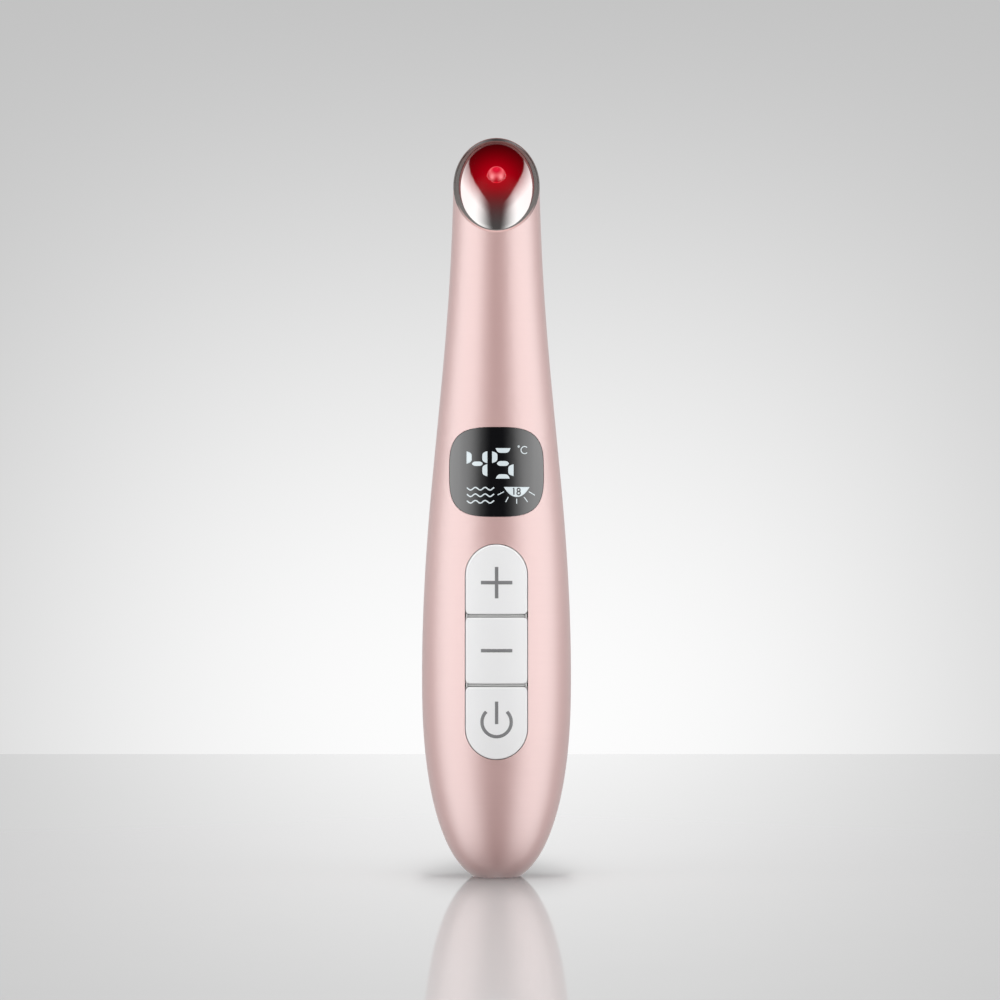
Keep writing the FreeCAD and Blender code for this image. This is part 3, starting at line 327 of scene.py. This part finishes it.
def moulded(name, dark, pale, roughness, grain_size=0.25 * MM, depth=0.006 * MM):
    """A moulded plastic with the fine, even texture of a spark-eroded tool."""
    material, flow, place = new_finish(name)
    grain = noise(flow, place, grain_size, 3.0)
    cloud = noise(flow, place, grain_size * 30)
    principled(flow, {
        "Base Color": blend(flow, grain * 0.5 + cloud * 0.5, dark, pale),
        "Roughness": roughness + (grain - 0.5) * 0.15,
        "Normal": bump(flow, grain, depth),
    })
    return material


def drawn(name, dark, pale, roughness, along=(8, 8, 1)):
    """An uncoated metal with fine marks of drawing or turning along one way."""
    material, flow, place = new_finish(name)
    marks = noise(flow, place, 0.6 * MM, 4.0, along)
    principled(flow, {
        "Base Color": blend(flow, marks, dark, pale),
        "Metallic": 1.0,
        "Roughness": roughness + (marks - 0.5) * 0.2,
        "Normal": bump(flow, marks, 0.003 * MM),
    })
    return material


# ---- Head carrier
# A moulded plug fills the head's skirt and holds the light board up against the lens. It hooks in at the
# top and takes two small screws at the bottom.

black_plastic = moulded("black nylon", (0.018, 0.018, 0.019, 1), (0.030, 0.030, 0.031, 1), 0.5)
screw_steel = drawn("zinc-plated screw steel", (0.42, 0.42, 0.43, 1), (0.58, 0.58, 0.59, 1), 0.32)
dress(black_plastic, "head_carrier", "inner_chassis", "socket_tongue")
dress(screw_steel, "carrier_screws", "chassis_screws", "charge_board_screws")

# ---- Display
# A smoked acrylic window lies flush in the front, stuck down with a die-cut tape, and a hard coat thickens
# towards its sides. Behind it a segment module lights up two digits, and masks in its film show the unit,
# three waves and a small setting sun.

SMOKE, SMOKE_PALE = (0.003, 0.003, 0.004, 1), (0.006, 0.006, 0.007, 1)
SMOKE_IOR = 1.4
COAT_FROM, COAT_TO = 3.0 * MM, 7.5 * MM

smoked_acrylic, flow, place = new_finish("smoked acrylic")
haze = noise(flow, place, 2.0 * MM, 3.0)
aside = flow.math("ABSOLUTE", axis(flow, place, 0))
principled(flow, {
    "Base Color": blend(flow, haze, SMOKE, SMOKE_PALE),
    "Roughness": 0.05 + haze * 0.04,
    "IOR": SMOKE_IOR,
    "Coat Weight": ramp(flow, aside, COAT_FROM, COAT_TO),
    "Coat Roughness": 0.05,
})
dress(smoked_acrylic, "display_window")
black_tape = moulded("black tape", (0.012, 0.012, 0.012, 1), (0.020, 0.020, 0.020, 1), 0.7)
dress(black_tape, "window_tape")
white_plastic = moulded("white display plastic", (0.74, 0.74, 0.73, 1), (0.80, 0.80, 0.79, 1), 0.45)
dress(white_plastic, "display_module")

HANDLE_SIZES = {
    "Wand Height": 148.25, "Belly Height": 39.5, "Belly Width": 29.8, "Belly Depth": 27.0,
    "Neck Width": 17.0, "Base Width": 9.4, "Foot Fullness": 2.3, "Belly Sweep": 40.0, "Neck Sweep": 47.7,
    "Neck Lean": 3.0, "Lean Start": 62.0,
}
LENGTHS = [name for name in HANDLE_SIZES if name != "Foot Fullness"]


def new_tree(name, inputs):
    """A Geometry Nodes tree with named inputs: the tree, the inputs' sockets by name and a start."""
    tree = bpy.data.node_groups.new(name, "GeometryNodeTree")
    tree.interface.new_socket("Geometry", in_out="INPUT", socket_type="NodeSocketGeometry")
    for label, kind in inputs.items():
        tree.interface.new_socket(label, in_out="INPUT", socket_type="NodeSocket" + kind)
    tree.interface.new_socket("Geometry", in_out="OUTPUT", socket_type="NodeSocketGeometry")
    entry = tree.nodes.new("NodeGroupInput")
    sockets = {socket.name: Flow(tree, socket) for socket in entry.outputs if socket.name}
    return tree, sockets, Flow(tree)


def close_tree(flow, mesh, finish):
    """Realizes the instances, sets the finish and ends the tree."""
    mesh = flow.add("GeometryNodeRealizeInstances", {}, {"Geometry": mesh})
    mesh = flow.add("GeometryNodeSetShadeSmooth", {}, {"Geometry": mesh})
    mesh = flow.add("GeometryNodeSetMaterial", {}, {"Geometry": mesh, "Material": finish})
    flow.add("NodeGroupOutput", {}, {"Geometry": mesh})


def apply_tree(thing, tree, values):
    """Sets the tree's inputs by their identifiers and turns the result into a plain mesh."""
    modifier = thing.modifiers.new(tree.name, "NODES")
    modifier.node_group = tree
    for item in tree.interface.items_tree:
        if item.in_out == "INPUT" and item.name in values:
            modifier[item.identifier] = values[item.name]
    seen = thing.evaluated_get(bpy.context.evaluated_depsgraph_get())
    mesh = bpy.data.meshes.new_from_object(seen)
    thing.modifiers.clear()
    thing.data = mesh


def new_piece(name, points, edges, faces):
    """A piece whose points are given in millimetres."""
    mesh = bpy.data.meshes.new(name)
    mesh.from_pydata([Vector(p) * MM for p in points], edges, faces)
    thing = bpy.data.objects.new(name, mesh)
    bpy.context.collection.objects.link(thing)
    return thing


def lay_on_handle(flow, sizes, mesh):
    """Bends a flat drawing, across X and up Z, onto the handle's front. Y is its depth below the skin."""
    place = flow.add("GeometryNodeInputPosition")
    across, depth, height = (axis(flow, place, number) for number in range(3))
    low, high = sizes["Belly Height"], sizes["Wand Height"]
    wide, narrow = sizes["Belly Width"] / 2, sizes["Neck Width"] / 2
    along = flow.math("MAXIMUM", (height - low) / (high - low), 0.0)
    for _ in range(4):
        back = 1 - along
        risen = low + 3 * sizes["Belly Sweep"] * along * back ** 2 \
            + 3 * (high - sizes["Neck Sweep"] - low) * along ** 2 * back + (high - low) * along ** 3
        rate = 3 * (sizes["Belly Sweep"] * back ** 2
                    + 2 * (high - sizes["Neck Sweep"] - low - sizes["Belly Sweep"]) * along * back
                    + sizes["Neck Sweep"] * along ** 2)
        along = flow.math("MAXIMUM", along - (risen - height) / rate, 0.0)
    back = 1 - along
    taper = wide * (back ** 3 + 3 * along * back ** 2) + narrow * (3 * along ** 2 * back + along ** 3)
    full = sizes["Foot Fullness"]
    share = 1 - (sizes["Base Width"] / sizes["Belly Width"]) ** full
    drop = flow.math("MAXIMUM", (low - height) / low, 0.0) * share ** (1 / full)
    foot = wide * (1 - drop ** full) ** (1 / full)
    half_width = flow.math("MINIMUM", taper, foot)
    flatness = sizes["Belly Depth"] / sizes["Belly Width"]
    ratio = 1 + (flatness - 1) * flow.math("MINIMUM", (half_width - narrow) / (wide - narrow), 1.0)
    foot_ratio = flow.math("LESS_THAN", height, low)
    ratio = ratio + (flatness - ratio) * foot_ratio
    lean = ramp(flow, height, sizes["Lean Start"], high, 0.0, sizes["Neck Lean"] * -1, "SMOOTHSTEP")
    wider = half_width - depth
    deeper = half_width * ratio - depth
    round_off = flow.math("SQRT", 1 - (across / wider) ** 2)
    there = flow.add("ShaderNodeCombineXYZ", {}, {0: across, 1: lean - deeper * round_off, 2: height})
    return flow.add("GeometryNodeSetPosition", {}, {"Geometry": mesh, "Position": there})


def handle_sizes():
    """The handle's sizes in metres."""
    return {name: size * (MM if name in LENGTHS else 1) for name, size in HANDLE_SIZES.items()}


size_inputs = {name: "Float" for name in HANDLE_SIZES}

# Lines of print: rods that follow the drawn lines, flattened and laid on the handle
print_lines, given, flow = new_tree("print lines", {
    "Stroke": "Float", "Height": "Float", "Lift": "Float", "Copies": "Int", "Step": "Vector",
    "Finish": "Material", **size_inputs})
rows = flow.add("GeometryNodeMeshLine", {}, {"Count": given["Copies"], "Offset": given["Step"]})
drawing = flow.add("GeometryNodeInstanceOnPoints", {}, {"Points": rows, "Instance": given["Geometry"]})
drawing = flow.add("GeometryNodeRealizeInstances", {}, {"Geometry": drawing})
lines = flow.add("GeometryNodeMeshToCurve", {}, {"Mesh": drawing})
lines = flow.add("GeometryNodeResampleCurve", {"mode": "LENGTH"}, {"Curve": lines, "Length": 0.2 * MM})
ring = flow.add("GeometryNodeCurvePrimitiveCircle", {}, {"Resolution": 12, "Radius": given["Stroke"] / 2})
rods = flow.add("GeometryNodeCurveToMesh", {}, {"Curve": lines, "Profile Curve": ring, "Fill Caps": True})
flat = flow.add("GeometryNodeInputPosition")
thin = axis(flow, flat, 1) * given["Height"] / given["Stroke"] * 2
squashed = flow.add("ShaderNodeCombineXYZ", {}, {
    0: axis(flow, flat, 0), 1: thin - given["Lift"], 2: axis(flow, flat, 2)})
rods = flow.add("GeometryNodeSetPosition", {}, {"Geometry": rods, "Position": squashed})
close_tree(flow, lay_on_handle(flow, given, rods), given["Finish"])

# Lit segments: one half-round plate, turned and stretched into each segment's place
lit_plates, given, flow = new_tree("lit segments", {"Plate": "Object", "Finish": "Material", **size_inputs})
plate = flow.add("GeometryNodeObjectInfo", {}, {"Object": given["Plate"]}, "Geometry")
turn = flow.add("GeometryNodeInputNamedAttribute", {"data_type": "FLOAT_VECTOR"}, {"Name": "turn"})
stretch = flow.add("GeometryNodeInputNamedAttribute", {"data_type": "FLOAT_VECTOR"}, {"Name": "stretch"})
plates = flow.add("GeometryNodeInstanceOnPoints", {}, {
    "Points": given["Geometry"], "Instance": plate, "Rotation": turn, "Scale": stretch})
plates = flow.add("GeometryNodeRealizeInstances", {}, {"Geometry": plates})
close_tree(flow, lay_on_handle(flow, given, plates), given["Finish"])


def polyline(lines):
    """Points and edges of drawn lines, each a list of X and Z."""
    points, edges = [], []
    for line in lines:
        start = len(points)
        points += [(x, 0, z) for x, z in line]
        edges += [(n, n + 1) for n in range(start, len(points) - 1)]
    return points, edges


def printed(name, body, lines, stroke, finish, height=0.02, lift=0.0, copies=1, step=(0, 0, 0)):
    """Lines laid on the handle's front, or lifted off its skin, with the stroke and height in mm."""
    points, edges = polyline(lines)
    piece = new_piece(name, points, edges, [])
    apply_tree(piece, print_lines, {
        "Stroke": stroke * MM, "Height": height * MM, "Lift": lift * MM, "Copies": copies,
        "Step": Vector(step) * MM, "Finish": finish, **handle_sizes()})
    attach(piece, body)


def half_round(fullness, steps=16, rings=5, middle=0.1):
    """A plate one by one: a straight side, a bulging side, a flat top at Y -1 and a bottom at Y 1."""
    outline = []
    for n in range(steps + 1):
        t = -1 + 2 * n / steps
        outline.append((0.5 - (1 - abs(t) ** fullness), t / 2))
    outline += [(0.5, 0.5 - n / steps) for n in range(1, steps)]
    count = len(outline)
    points, faces = [], []
    scales = [k / rings for k in range(1, rings + 1)]
    for y, order in ((-1, scales), (1, scales[::-1])):
        for scale in order:
            points += [(middle + (x - middle) * scale, y, z * scale) for x, z in outline]
    for ring in range(2 * rings - 1):
        for n in range(count):
            a, b = ring * count + n, ring * count + (n + 1) % count
            faces.append((a, b, b + count, a + count))
    points += [(middle, -1, 0), (middle, 1, 0)]
    top, bottom = len(points) - 2, len(points) - 1
    last = (2 * rings - 1) * count
    for n in range(count):
        faces.append((n, top, (n + 1) % count))
        faces.append((last + (n + 1) % count, bottom, last + n))
    return points, faces


# Digit segments: centre X and Z, width, height, and where the straight side is
SEGMENTS = [
    (-5.40, 83.60, 1.03, 2.50, "left"), (-2.30, 83.66, 0.98, 2.40, "right"),
    (-2.30, 81.08, 0.98, 2.42, "right"), (1.31, 84.98, 2.96, 0.94, "top"),
    (-0.34, 83.66, 1.04, 2.30, "left"), (2.86, 81.09, 1.04, 2.36, "right"),
    (1.25, 79.86, 2.76, 0.86, "bottom"),
    (-3.78, 82.59, 2.17, 0.45, "bottom"), (-3.78, 82.15, 2.17, 0.45, "top"),
    (1.28, 82.65, 2.39, 0.49, "bottom"), (1.28, 82.17, 2.39, 0.49, "top"),
]
DIGIT_FULLNESS = 4.5
SUN = (4.02, 76.78, 5.10, 1.98, "top")
SUN_FULLNESS = 2.2
QUARTERS = {"right": 0, "top": 1, "left": 2, "bottom": 3}
GLOW_HEIGHT = 0.02

lit_white, flow, place = new_finish("lit display white")
uneven = noise(flow, place, 0.8 * MM)
principled(flow, {
    "Base Color": (0.30, 0.33, 0.34, 1),
    "Roughness": 0.12,
    "Emission Color": blend(flow, uneven, (0.74, 0.86, 0.93, 1), (0.90, 0.98, 1.0, 1)),
    "Emission Strength": 0.5,
})


def lit(name, segments, fullness):
    """Segments that shine through the window, all cut from one plate."""
    points, faces = half_round(fullness)
    plate = new_piece("segment_plate", points, [], faces)
    plate.data.transform(Matrix.Scale(1 / MM, 4))
    seats = new_piece(name, [(x, 0, z) for x, z, _, _, _ in segments], [], [])
    turns = seats.data.attributes.new("turn", "FLOAT_VECTOR", "POINT")
    stretches = seats.data.attributes.new("stretch", "FLOAT_VECTOR", "POINT")
    for n, (x, z, width, height, side) in enumerate(segments):
        quarter = QUARTERS[side]
        turns.data[n].vector = (0, -quarter * math.pi / 2, 0)
        long, deep = (width, height) if quarter % 2 else (height, width)
        stretches.data[n].vector = (deep * MM, GLOW_HEIGHT * MM, long * MM)
    apply_tree(seats, lit_plates, {"Plate": plate, "Finish": lit_white, **handle_sizes()})
    bpy.data.objects.remove(plate)
    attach(seats, "handle")


lit("display_digits", SEGMENTS, DIGIT_FULLNESS)
lit("display_sun", [SUN], SUN_FULLNESS)

WAVE_START, WAVE_END, WAVE_LENGTH, WAVE_RISE = -5.86, -0.45, 1.926, 0.27
WAVE_CREST, WAVE_LOW, WAVE_STEP = -4.16, 74.85, 1.29
WAVE_PARTS = 40
WAVE_STROKE, FINE_STROKE, FIGURE_STROKE = 0.24, 0.18, 0.26
wave = []
for n in range(WAVE_PARTS + 1):
    x = WAVE_START + (WAVE_END - WAVE_START) * n / WAVE_PARTS
    wave.append((x, WAVE_LOW + WAVE_RISE * math.cos(2 * math.pi * (x - WAVE_CREST) / WAVE_LENGTH)))
printed("display_waves", "handle", [wave], WAVE_STROKE, lit_white, copies=3,
        step=(0, 0, WAVE_STEP))
RAYS = [[(0.23, 76.19), (1.47, 76.84)], [(1.81, 74.81), (2.34, 75.79)], [(4.00, 75.46), (4.00, 74.47)],
        [(5.44, 75.79), (6.17, 74.81)], [(6.43, 76.84), (7.61, 76.13)]]
printed("display_rays", "handle", RAYS, FINE_STROKE, lit_white)


def arc(x, z, radius, start, end, steps=24):
    """Points of an arc in degrees, turning from the right upwards."""
    turns = [math.radians(start + (end - start) * n / steps) for n in range(steps + 1)]
    return [(x + radius * math.cos(t), z + radius * math.sin(t)) for t in turns]


UNIT = [arc(5.56, 85.08, 0.71, 45, 315), arc(4.39, 85.77, 0.16, 0, 360)]
printed("display_unit", "handle", UNIT, FINE_STROKE, lit_white)

# The small figure in the sun is a dark gap in the film
FIGURE_HEIGHT = FIGURE_LIFT = 0.03
dark_print = moulded("dark print", (0.02, 0.02, 0.02, 1), (0.03, 0.03, 0.03, 1), 0.2)
MINUTES = [[(3.27, 77.42), (3.45, 77.53), (3.45, 76.23)],
           arc(4.39, 77.21, 0.30, 0, 360), arc(4.39, 76.56, 0.34, 0, 360)]
printed("display_minutes", "handle", MINUTES, FIGURE_STROKE, dark_print, FIGURE_HEIGHT,
        FIGURE_LIFT)

# ---- Keys
# Three keys are moulded in pale grey plastic with a satin surface and rounded edges, and a flange keeps
# each in the front shell. The grooves between them are painted grey as shade: the keys turn grey near
# each groove, and grey strips lie in the grooves and at their ends. The signs are printed in grey.

GROOVES = (38.6, 52.3)
GROOVE_SHADE_START, GROOVE_SHADE_END = 0.326 * MM, 0.408 * MM
KEY_GREY, KEY_PALE = (0.885, 0.885, 0.89, 1), (0.915, 0.915, 0.92, 1)
GROOVE_SHADE_GREY, GROOVE_SHADE_PALE = (0.60, 0.60, 0.595, 1), (0.64, 0.64, 0.635, 1)
SHADE_STRIP_HALF, SHADE_STRIP_STROKE, SHADE_STRIP_HEIGHT, SHADE_STRIP_LIFT = 5.7, 0.5, 0.12, -0.42
END_X, END_OUT, END_IN = 5.87, 0.45, 0.7
END_STROKE, END_HEIGHT, END_LIFT = 0.32, 0.08, -0.12

light_keys, flow, place = new_finish("pale key plastic")
grain = noise(flow, place, 0.15 * MM)
height = axis(flow, place, 2)
# Painted shade: the keys turn grey within about 0.4 mm of each groove
off_groove = flow.math("MINIMUM", *(flow.math("ABSOLUTE", height - groove * MM) for groove in GROOVES))
groove_shade_share = ramp(flow, off_groove, GROOVE_SHADE_START, GROOVE_SHADE_END, 1.0, 0.0)
principled(flow, {
    "Base Color": blend(flow, groove_shade_share, blend(flow, grain, KEY_GREY, KEY_PALE), GROOVE_SHADE_GREY),
    "Roughness": 0.42 + grain * 0.08,
    "Normal": bump(flow, grain, 0.003 * MM),
})
dress(light_keys, "plus_key", "minus_key", "power_key")
# Grey strips in the grooves and at their ends stand in for the shade there
shade_strip_grey = moulded("painted groove shade", GROOVE_SHADE_GREY, GROOVE_SHADE_PALE, 0.6)
shade_strips = [[(-SHADE_STRIP_HALF, groove), (SHADE_STRIP_HALF, groove)] for groove in GROOVES]
printed("groove_seals", "minus_button", shade_strips, SHADE_STRIP_STROKE, shade_strip_grey, SHADE_STRIP_HEIGHT,
        SHADE_STRIP_LIFT)
ends = [[(side * END_X, groove + way * END_OUT), (side * END_X, groove - way * END_IN)]
        for side in (-1, 1) for groove, way in zip(GROOVES, (-1, 1))]
printed("groove_ends", "minus_button", ends, END_STROKE, shade_strip_grey, END_HEIGHT, END_LIFT)

KEY_PROUD = 0.2
SIGN_STROKE, RING_STROKE, RING_RADIUS = 0.70, 0.66, 2.9
SIGN_X, SIGN_HALF = 0.03, 3.1
PLUS_Z, MINUS_Z, POWER_Z = 58.90, 45.47, 31.38
grey_print = moulded("grey print", (0.20, 0.20, 0.205, 1), (0.25, 0.25, 0.255, 1), 0.3)


def level_bar(z):
    """The level stroke of a sign."""
    return [(SIGN_X - SIGN_HALF, z), (SIGN_X + SIGN_HALF, z)]


upright = [(SIGN_X, PLUS_Z - SIGN_HALF), (SIGN_X, PLUS_Z + SIGN_HALF)]
power = [arc(SIGN_X, POWER_Z, RING_RADIUS, 135, 405), [(SIGN_X, POWER_Z - 0.4), (SIGN_X, POWER_Z + 4.05)]]
for name, body, sign, stroke in (
        ("plus_sign", "plus_button", [level_bar(PLUS_Z), upright], SIGN_STROKE),
        ("minus_sign", "minus_button", [level_bar(MINUS_Z)], SIGN_STROKE),
        ("power_sign", "power_button", power, RING_STROKE)):
    printed(name, body, sign, stroke, grey_print, lift=KEY_PROUD)

# ---- Switches
# Each key presses the round plunger of a push switch, soldered to the front of the main board. The
# plunger is white nylon, in a black moulded base.

dress(black_plastic, "plus_switch_base", "minus_switch_base", "power_switch_base")
dress(white_plastic, "plus_switch_plunger", "minus_switch_plunger", "power_switch_plunger")

# ---- Boards
# The main board and the charging board are cut from glass-fibre sheet with a green solder mask. The
# chips are moulded in epoxy.

TRACK_CELLS_PER_MM, TRACK_WIDTH = 0.45, 0.05

green_board, flow, place = new_finish("green solder mask")
weave = noise(flow, place, 0.35 * MM, 2.0, (1, 1, 4))
tracks = flow.add("ShaderNodeTexVoronoi", {"feature": "DISTANCE_TO_EDGE", "distance": "CHEBYCHEV"},
                  {"Vector": place, "Scale": TRACK_CELLS_PER_MM / MM})
copper = flow.math("LESS_THAN", tracks, TRACK_WIDTH)
principled(flow, {
    "Base Color": blend(flow, copper * 0.6 + weave * 0.2, (0.010, 0.10, 0.035, 1), (0.03, 0.22, 0.08, 1)),
    "Roughness": 0.28 + weave * 0.1,
    "Normal": bump(flow, copper, 0.02 * MM),
})
dress(green_board, "main_board", "charge_board")
chip_epoxy = moulded("chip epoxy", (0.015, 0.015, 0.016, 1), (0.028, 0.028, 0.028, 1), 0.55)
dress(chip_epoxy, "board_chips")

# ---- Cell
# A round lithium cell in a blue shrink sleeve lies in the moulded tray. Nickel tabs are spot-welded to
# both its ends, and the charging socket's shell has the same bright nickel.

cell_sleeve = moulded("blue shrink sleeve", (0.02, 0.08, 0.34, 1), (0.03, 0.11, 0.42, 1), 0.3,
                      grain_size=1.0 * MM, depth=0.01 * MM)
dress(cell_sleeve, "round_cell")
nickel = drawn("nickel strip", (0.52, 0.50, 0.46, 1), (0.66, 0.63, 0.58, 1), 0.3)
dress(nickel, "cell_tabs", "socket_shell")

# ---- Vibration motor
# A small motor in a drawn steel can turns a half-round tungsten weight. A rubber tube holds it in the
# webs of the neck.

motor_steel = drawn("drawn motor steel", (0.50, 0.50, 0.50, 1), (0.64, 0.64, 0.64, 1), 0.28, (1, 1, 12))
dress(motor_steel, "motor_can", "motor_shaft")
tungsten = drawn("sintered tungsten", (0.24, 0.24, 0.25, 1), (0.34, 0.34, 0.35, 1), 0.45)
dress(tungsten, "eccentric_weight")

# ---- Wires
# The leads are stranded copper in soft red sleeves, and the bundle that goes up to the head is sleeved in
# black. They are soldered to the boards.

red_wire = moulded("red sleeve", (0.42, 0.012, 0.012, 1), (0.52, 0.02, 0.02, 1), 0.4)
black_wire = moulded("black sleeve", (0.014, 0.014, 0.014, 1), (0.024, 0.024, 0.024, 1), 0.4)
dress(red_wire, "motor_leads", "cell_leads", "charge_leads")
dress(black_wire, "head_harness")

# ---- Studio
# The wand stands on a pale polished table in front of a pale backdrop, between two tall soft boxes and
# under a strip light. The table is painted a little darker to the sides as shade, and a soft shadow is
# painted round the wand's foot.

TABLE_HALF = 480
TABLE_MIDDLE = 70 * MM
TABLE_CLOUD = 30 * MM
TABLE_SHADE, TABLE_LIT = (0.40, 0.40, 0.40, 1), (0.47, 0.47, 0.47, 1)
POLISH_IOR, POLISH_GAIN = 1.1, 2
POLISH_WHITE = (0.95, 0.95, 0.95, 1)
# The painted shadow round the foot: its strength, its colour, its reach across and along, and how far its
# middle lies behind the foot
PAINTED_SHADOW, SHADOW_COLOUR = 0.36, (0.05, 0.05, 0.05, 1)
SHADOW_ACROSS, SHADOW_ALONG, SHADOW_BEHIND = 13 * MM, 36 * MM, 12 * MM


def smooth(flow, value, low, high, start=0.0, end=1.0):
    """A ramp that starts and ends softly."""
    return ramp(flow, value, low, high, start, end, "SMOOTHSTEP")


table_pale, flow, place = new_finish("pale table")
across, along = axis(flow, place, 0), axis(flow, place, 1)
# Painted shade: the table is lighter down its middle and darker to the sides
middle = bell(flow, across / TABLE_MIDDLE)
pale = blend(flow, middle * 0.9 + noise(flow, place, TABLE_CLOUD) * 0.1, TABLE_SHADE, TABLE_LIT)
matt = flow.add("ShaderNodeBsdfDiffuse", {}, {"Color": pale})
shine = flow.add("ShaderNodeBsdfGlossy", {}, {"Color": POLISH_WHITE, "Roughness": 0.05})
seen_direct = flow.add("ShaderNodeLightPath", output="Is Camera Ray")
share = flow.add("ShaderNodeFresnel", {}, {"IOR": POLISH_IOR}) ** 2 * POLISH_GAIN * seen_direct
polished = flow.add("ShaderNodeMixShader", {}, {0: share, 1: matt, 2: shine})
# A painted shadow round the wand's foot, mixed in as a dark matt surface
off_shadow = (across / SHADOW_ACROSS) ** 2 + ((along - SHADOW_BEHIND) / SHADOW_ALONG) ** 2
painted_shadow_share = bell(flow, off_shadow, 1) * PAINTED_SHADOW
dark = flow.add("ShaderNodeBsdfDiffuse", {}, {"Color": SHADOW_COLOUR})
shaded = flow.add("ShaderNodeMixShader", {}, {0: painted_shadow_share, 1: polished, 2: dark})
# Gloss on the wand sees through the table to the light that the room gives from below
seen_in_gloss = flow.add("ShaderNodeLightPath", output="Is Glossy Ray")
unseen = flow.add("ShaderNodeBsdfTransparent")
both = flow.add("ShaderNodeMixShader", {}, {0: seen_in_gloss, 1: shaded, 2: unseen})
flow.add("ShaderNodeOutputMaterial", {}, {"Surface": both})
corners = [(x * TABLE_HALF, y * TABLE_HALF, 0) for x, y in ((-1, -1), (1, -1), (1, 1), (-1, 1))]
table = new_piece("table", corners, [], [(0, 1, 2, 3)])
table.data.materials.append(table_pale)

# The backdrop's level, the spot of light on it, its glare in gloss, and the fill light for matt surfaces
BACKDROP, SPOT = 0.53, 0.45
SPOT_WIDTH, SPOT_FALL = 0.112, 2.6
GLARE_WIDTH = 0.11
FILL = 0.48
# The soft boxes, in degrees round the wand from the front and up from level
BOX_TOP, BOX_ARCH, BOX_MIDDLE, BOX_SPREAD = 57.5, 12.5, 68, 65
BOX_REAR, BOX_REAR_SLANT = 112, 1.5
BOX_FRONT, BOX_FRONT_SLANT, BOX_FRONT_LOW = 11, 0.3, 9.0
BOX_EDGE_SOFT = 52
GAIN_HIGH, GAIN_FRONT, GAIN_SIDE, GAIN_BELOW = 1.1, 4.8, 3.35, 0.2

world = bpy.data.worlds.new("studio")
bpy.context.scene.world = world
world.use_nodes = True
world.node_tree.nodes.clear()
flow = Flow(world.node_tree)
way = flow.add("ShaderNodeTexCoord", output="Generated")
x, y, z = (axis(flow, way, number) for number in range(3))
aside = flow.math("ABSOLUTE", x)
round_wand = flow.math("ARCTAN2", aside, y * -1) * (180 / math.pi)
rise = flow.math("ARCSINE", z) * (180 / math.pi)
far_back = flow.math("GREATER_THAN", y, 0.0)

# Seen by the camera: an even backdrop with a soft spot of light low behind the wand
spot = smooth(flow, z, -0.045, 0.125, 1.0, 0.0) * bell(flow, aside / SPOT_WIDTH, SPOT_FALL)
backdrop = BACKDROP + spot * far_back * SPOT

# Mirrored in gloss: one box on each side, a dim room, a low light behind and the backdrop's glare
below_top = BOX_TOP - ((round_wand - BOX_MIDDLE) / BOX_SPREAD) ** 2 * BOX_ARCH - rise
rear_edge = BOX_REAR + flow.math("MAXIMUM", rise, 0.0) * BOX_REAR_SLANT
front_edge = flow.math("MAXIMUM", (rise - 36) * BOX_FRONT_SLANT + BOX_FRONT,
                       smooth(flow, rise, 4, 16, BOX_FRONT_LOW, 0.0))
box_light = smooth(flow, round_wand - front_edge, 0, BOX_EDGE_SOFT) \
    * smooth(flow, round_wand - rear_edge, -36, 8, 1.0, 0.0) \
    * smooth(flow, below_top, -1, 1) * ramp(flow, below_top, 0, 14, 0.25)
low_gain = smooth(flow, round_wand, 30, 62, GAIN_FRONT, GAIN_SIDE)
box_gain = (smooth(flow, rise, 12, 26) * (GAIN_HIGH - low_gain) + low_gain) \
    * smooth(flow, rise, -62, -28, GAIN_BELOW, 1.0)
room = smooth(flow, rise, 20, 75, 0.07, 0.006) * smooth(flow, round_wand, 60, 100, 1.0, 0.03)
low_behind = smooth(flow, round_wand, 106, 125) * smooth(flow, rise, 8, 30, 0.5, 0.0)
glare = bell(flow, aside / GLARE_WIDTH) * smooth(flow, z, 0.05, 0.11, 0.60, 0.15) \
    * smooth(flow, z, 0.1, 0.25, 1.0, 0.0) * far_back
mirrored = room + box_light * box_gain + low_behind + glare

by_camera = flow.add("ShaderNodeLightPath", output="Is Camera Ray")
through_glass = flow.add("ShaderNodeLightPath", output="Is Transmission Ray")
by_gloss = flow.add("ShaderNodeLightPath", output="Is Glossy Ray")
direct = flow.math("MAXIMUM", by_camera, through_glass)
strength = direct * backdrop + (1 - direct) * (by_gloss * mirrored + (1 - by_gloss) * FILL)
sky = flow.add("ShaderNodeBackground", {}, {"Color": (1, 1, 1, 1), "Strength": strength})
flow.add("ShaderNodeOutputWorld", {}, {"Surface": sky})
world.cycles.sampling_method = "NONE"

# Lamps: place, width, length and power
SIDE_LAMP = (0.6, 0.6, 1.5)
TOP_LAMP = (0.06, 0.7, 9.4)
AIM = Vector((0, 0, 0.08))
for place, (width, length, power) in (
        ((-0.5, -0.25, 0.14), SIDE_LAMP), ((0.5, -0.25, 0.14), SIDE_LAMP), ((0, 0, 1.0), TOP_LAMP)):
    lamp = bpy.data.lights.new("soft_box", "AREA")
    lamp.shape, lamp.size, lamp.size_y, lamp.energy = "RECTANGLE", width, length, power
    box = bpy.data.objects.new("soft_box", lamp)
    bpy.context.collection.objects.link(box)
    box.location = place
    box.rotation_euler = (AIM - box.location).to_track_quat("-Z", "Y").to_euler()
    box.visible_camera = False
    box.visible_glossy = False

camera = bpy.data.cameras.new("camera")
camera.lens = 180
camera.sensor_width = 36
eye = bpy.data.objects.new("camera", camera)
bpy.context.collection.objects.link(eye)
eye.location = (0.7 * MM, -1.0, 75.2 * MM)
eye.rotation_euler = (math.pi / 2, 0, 0)
bpy.context.scene.camera = eye
bpy.context.scene.view_settings.view_transform = "Standard"
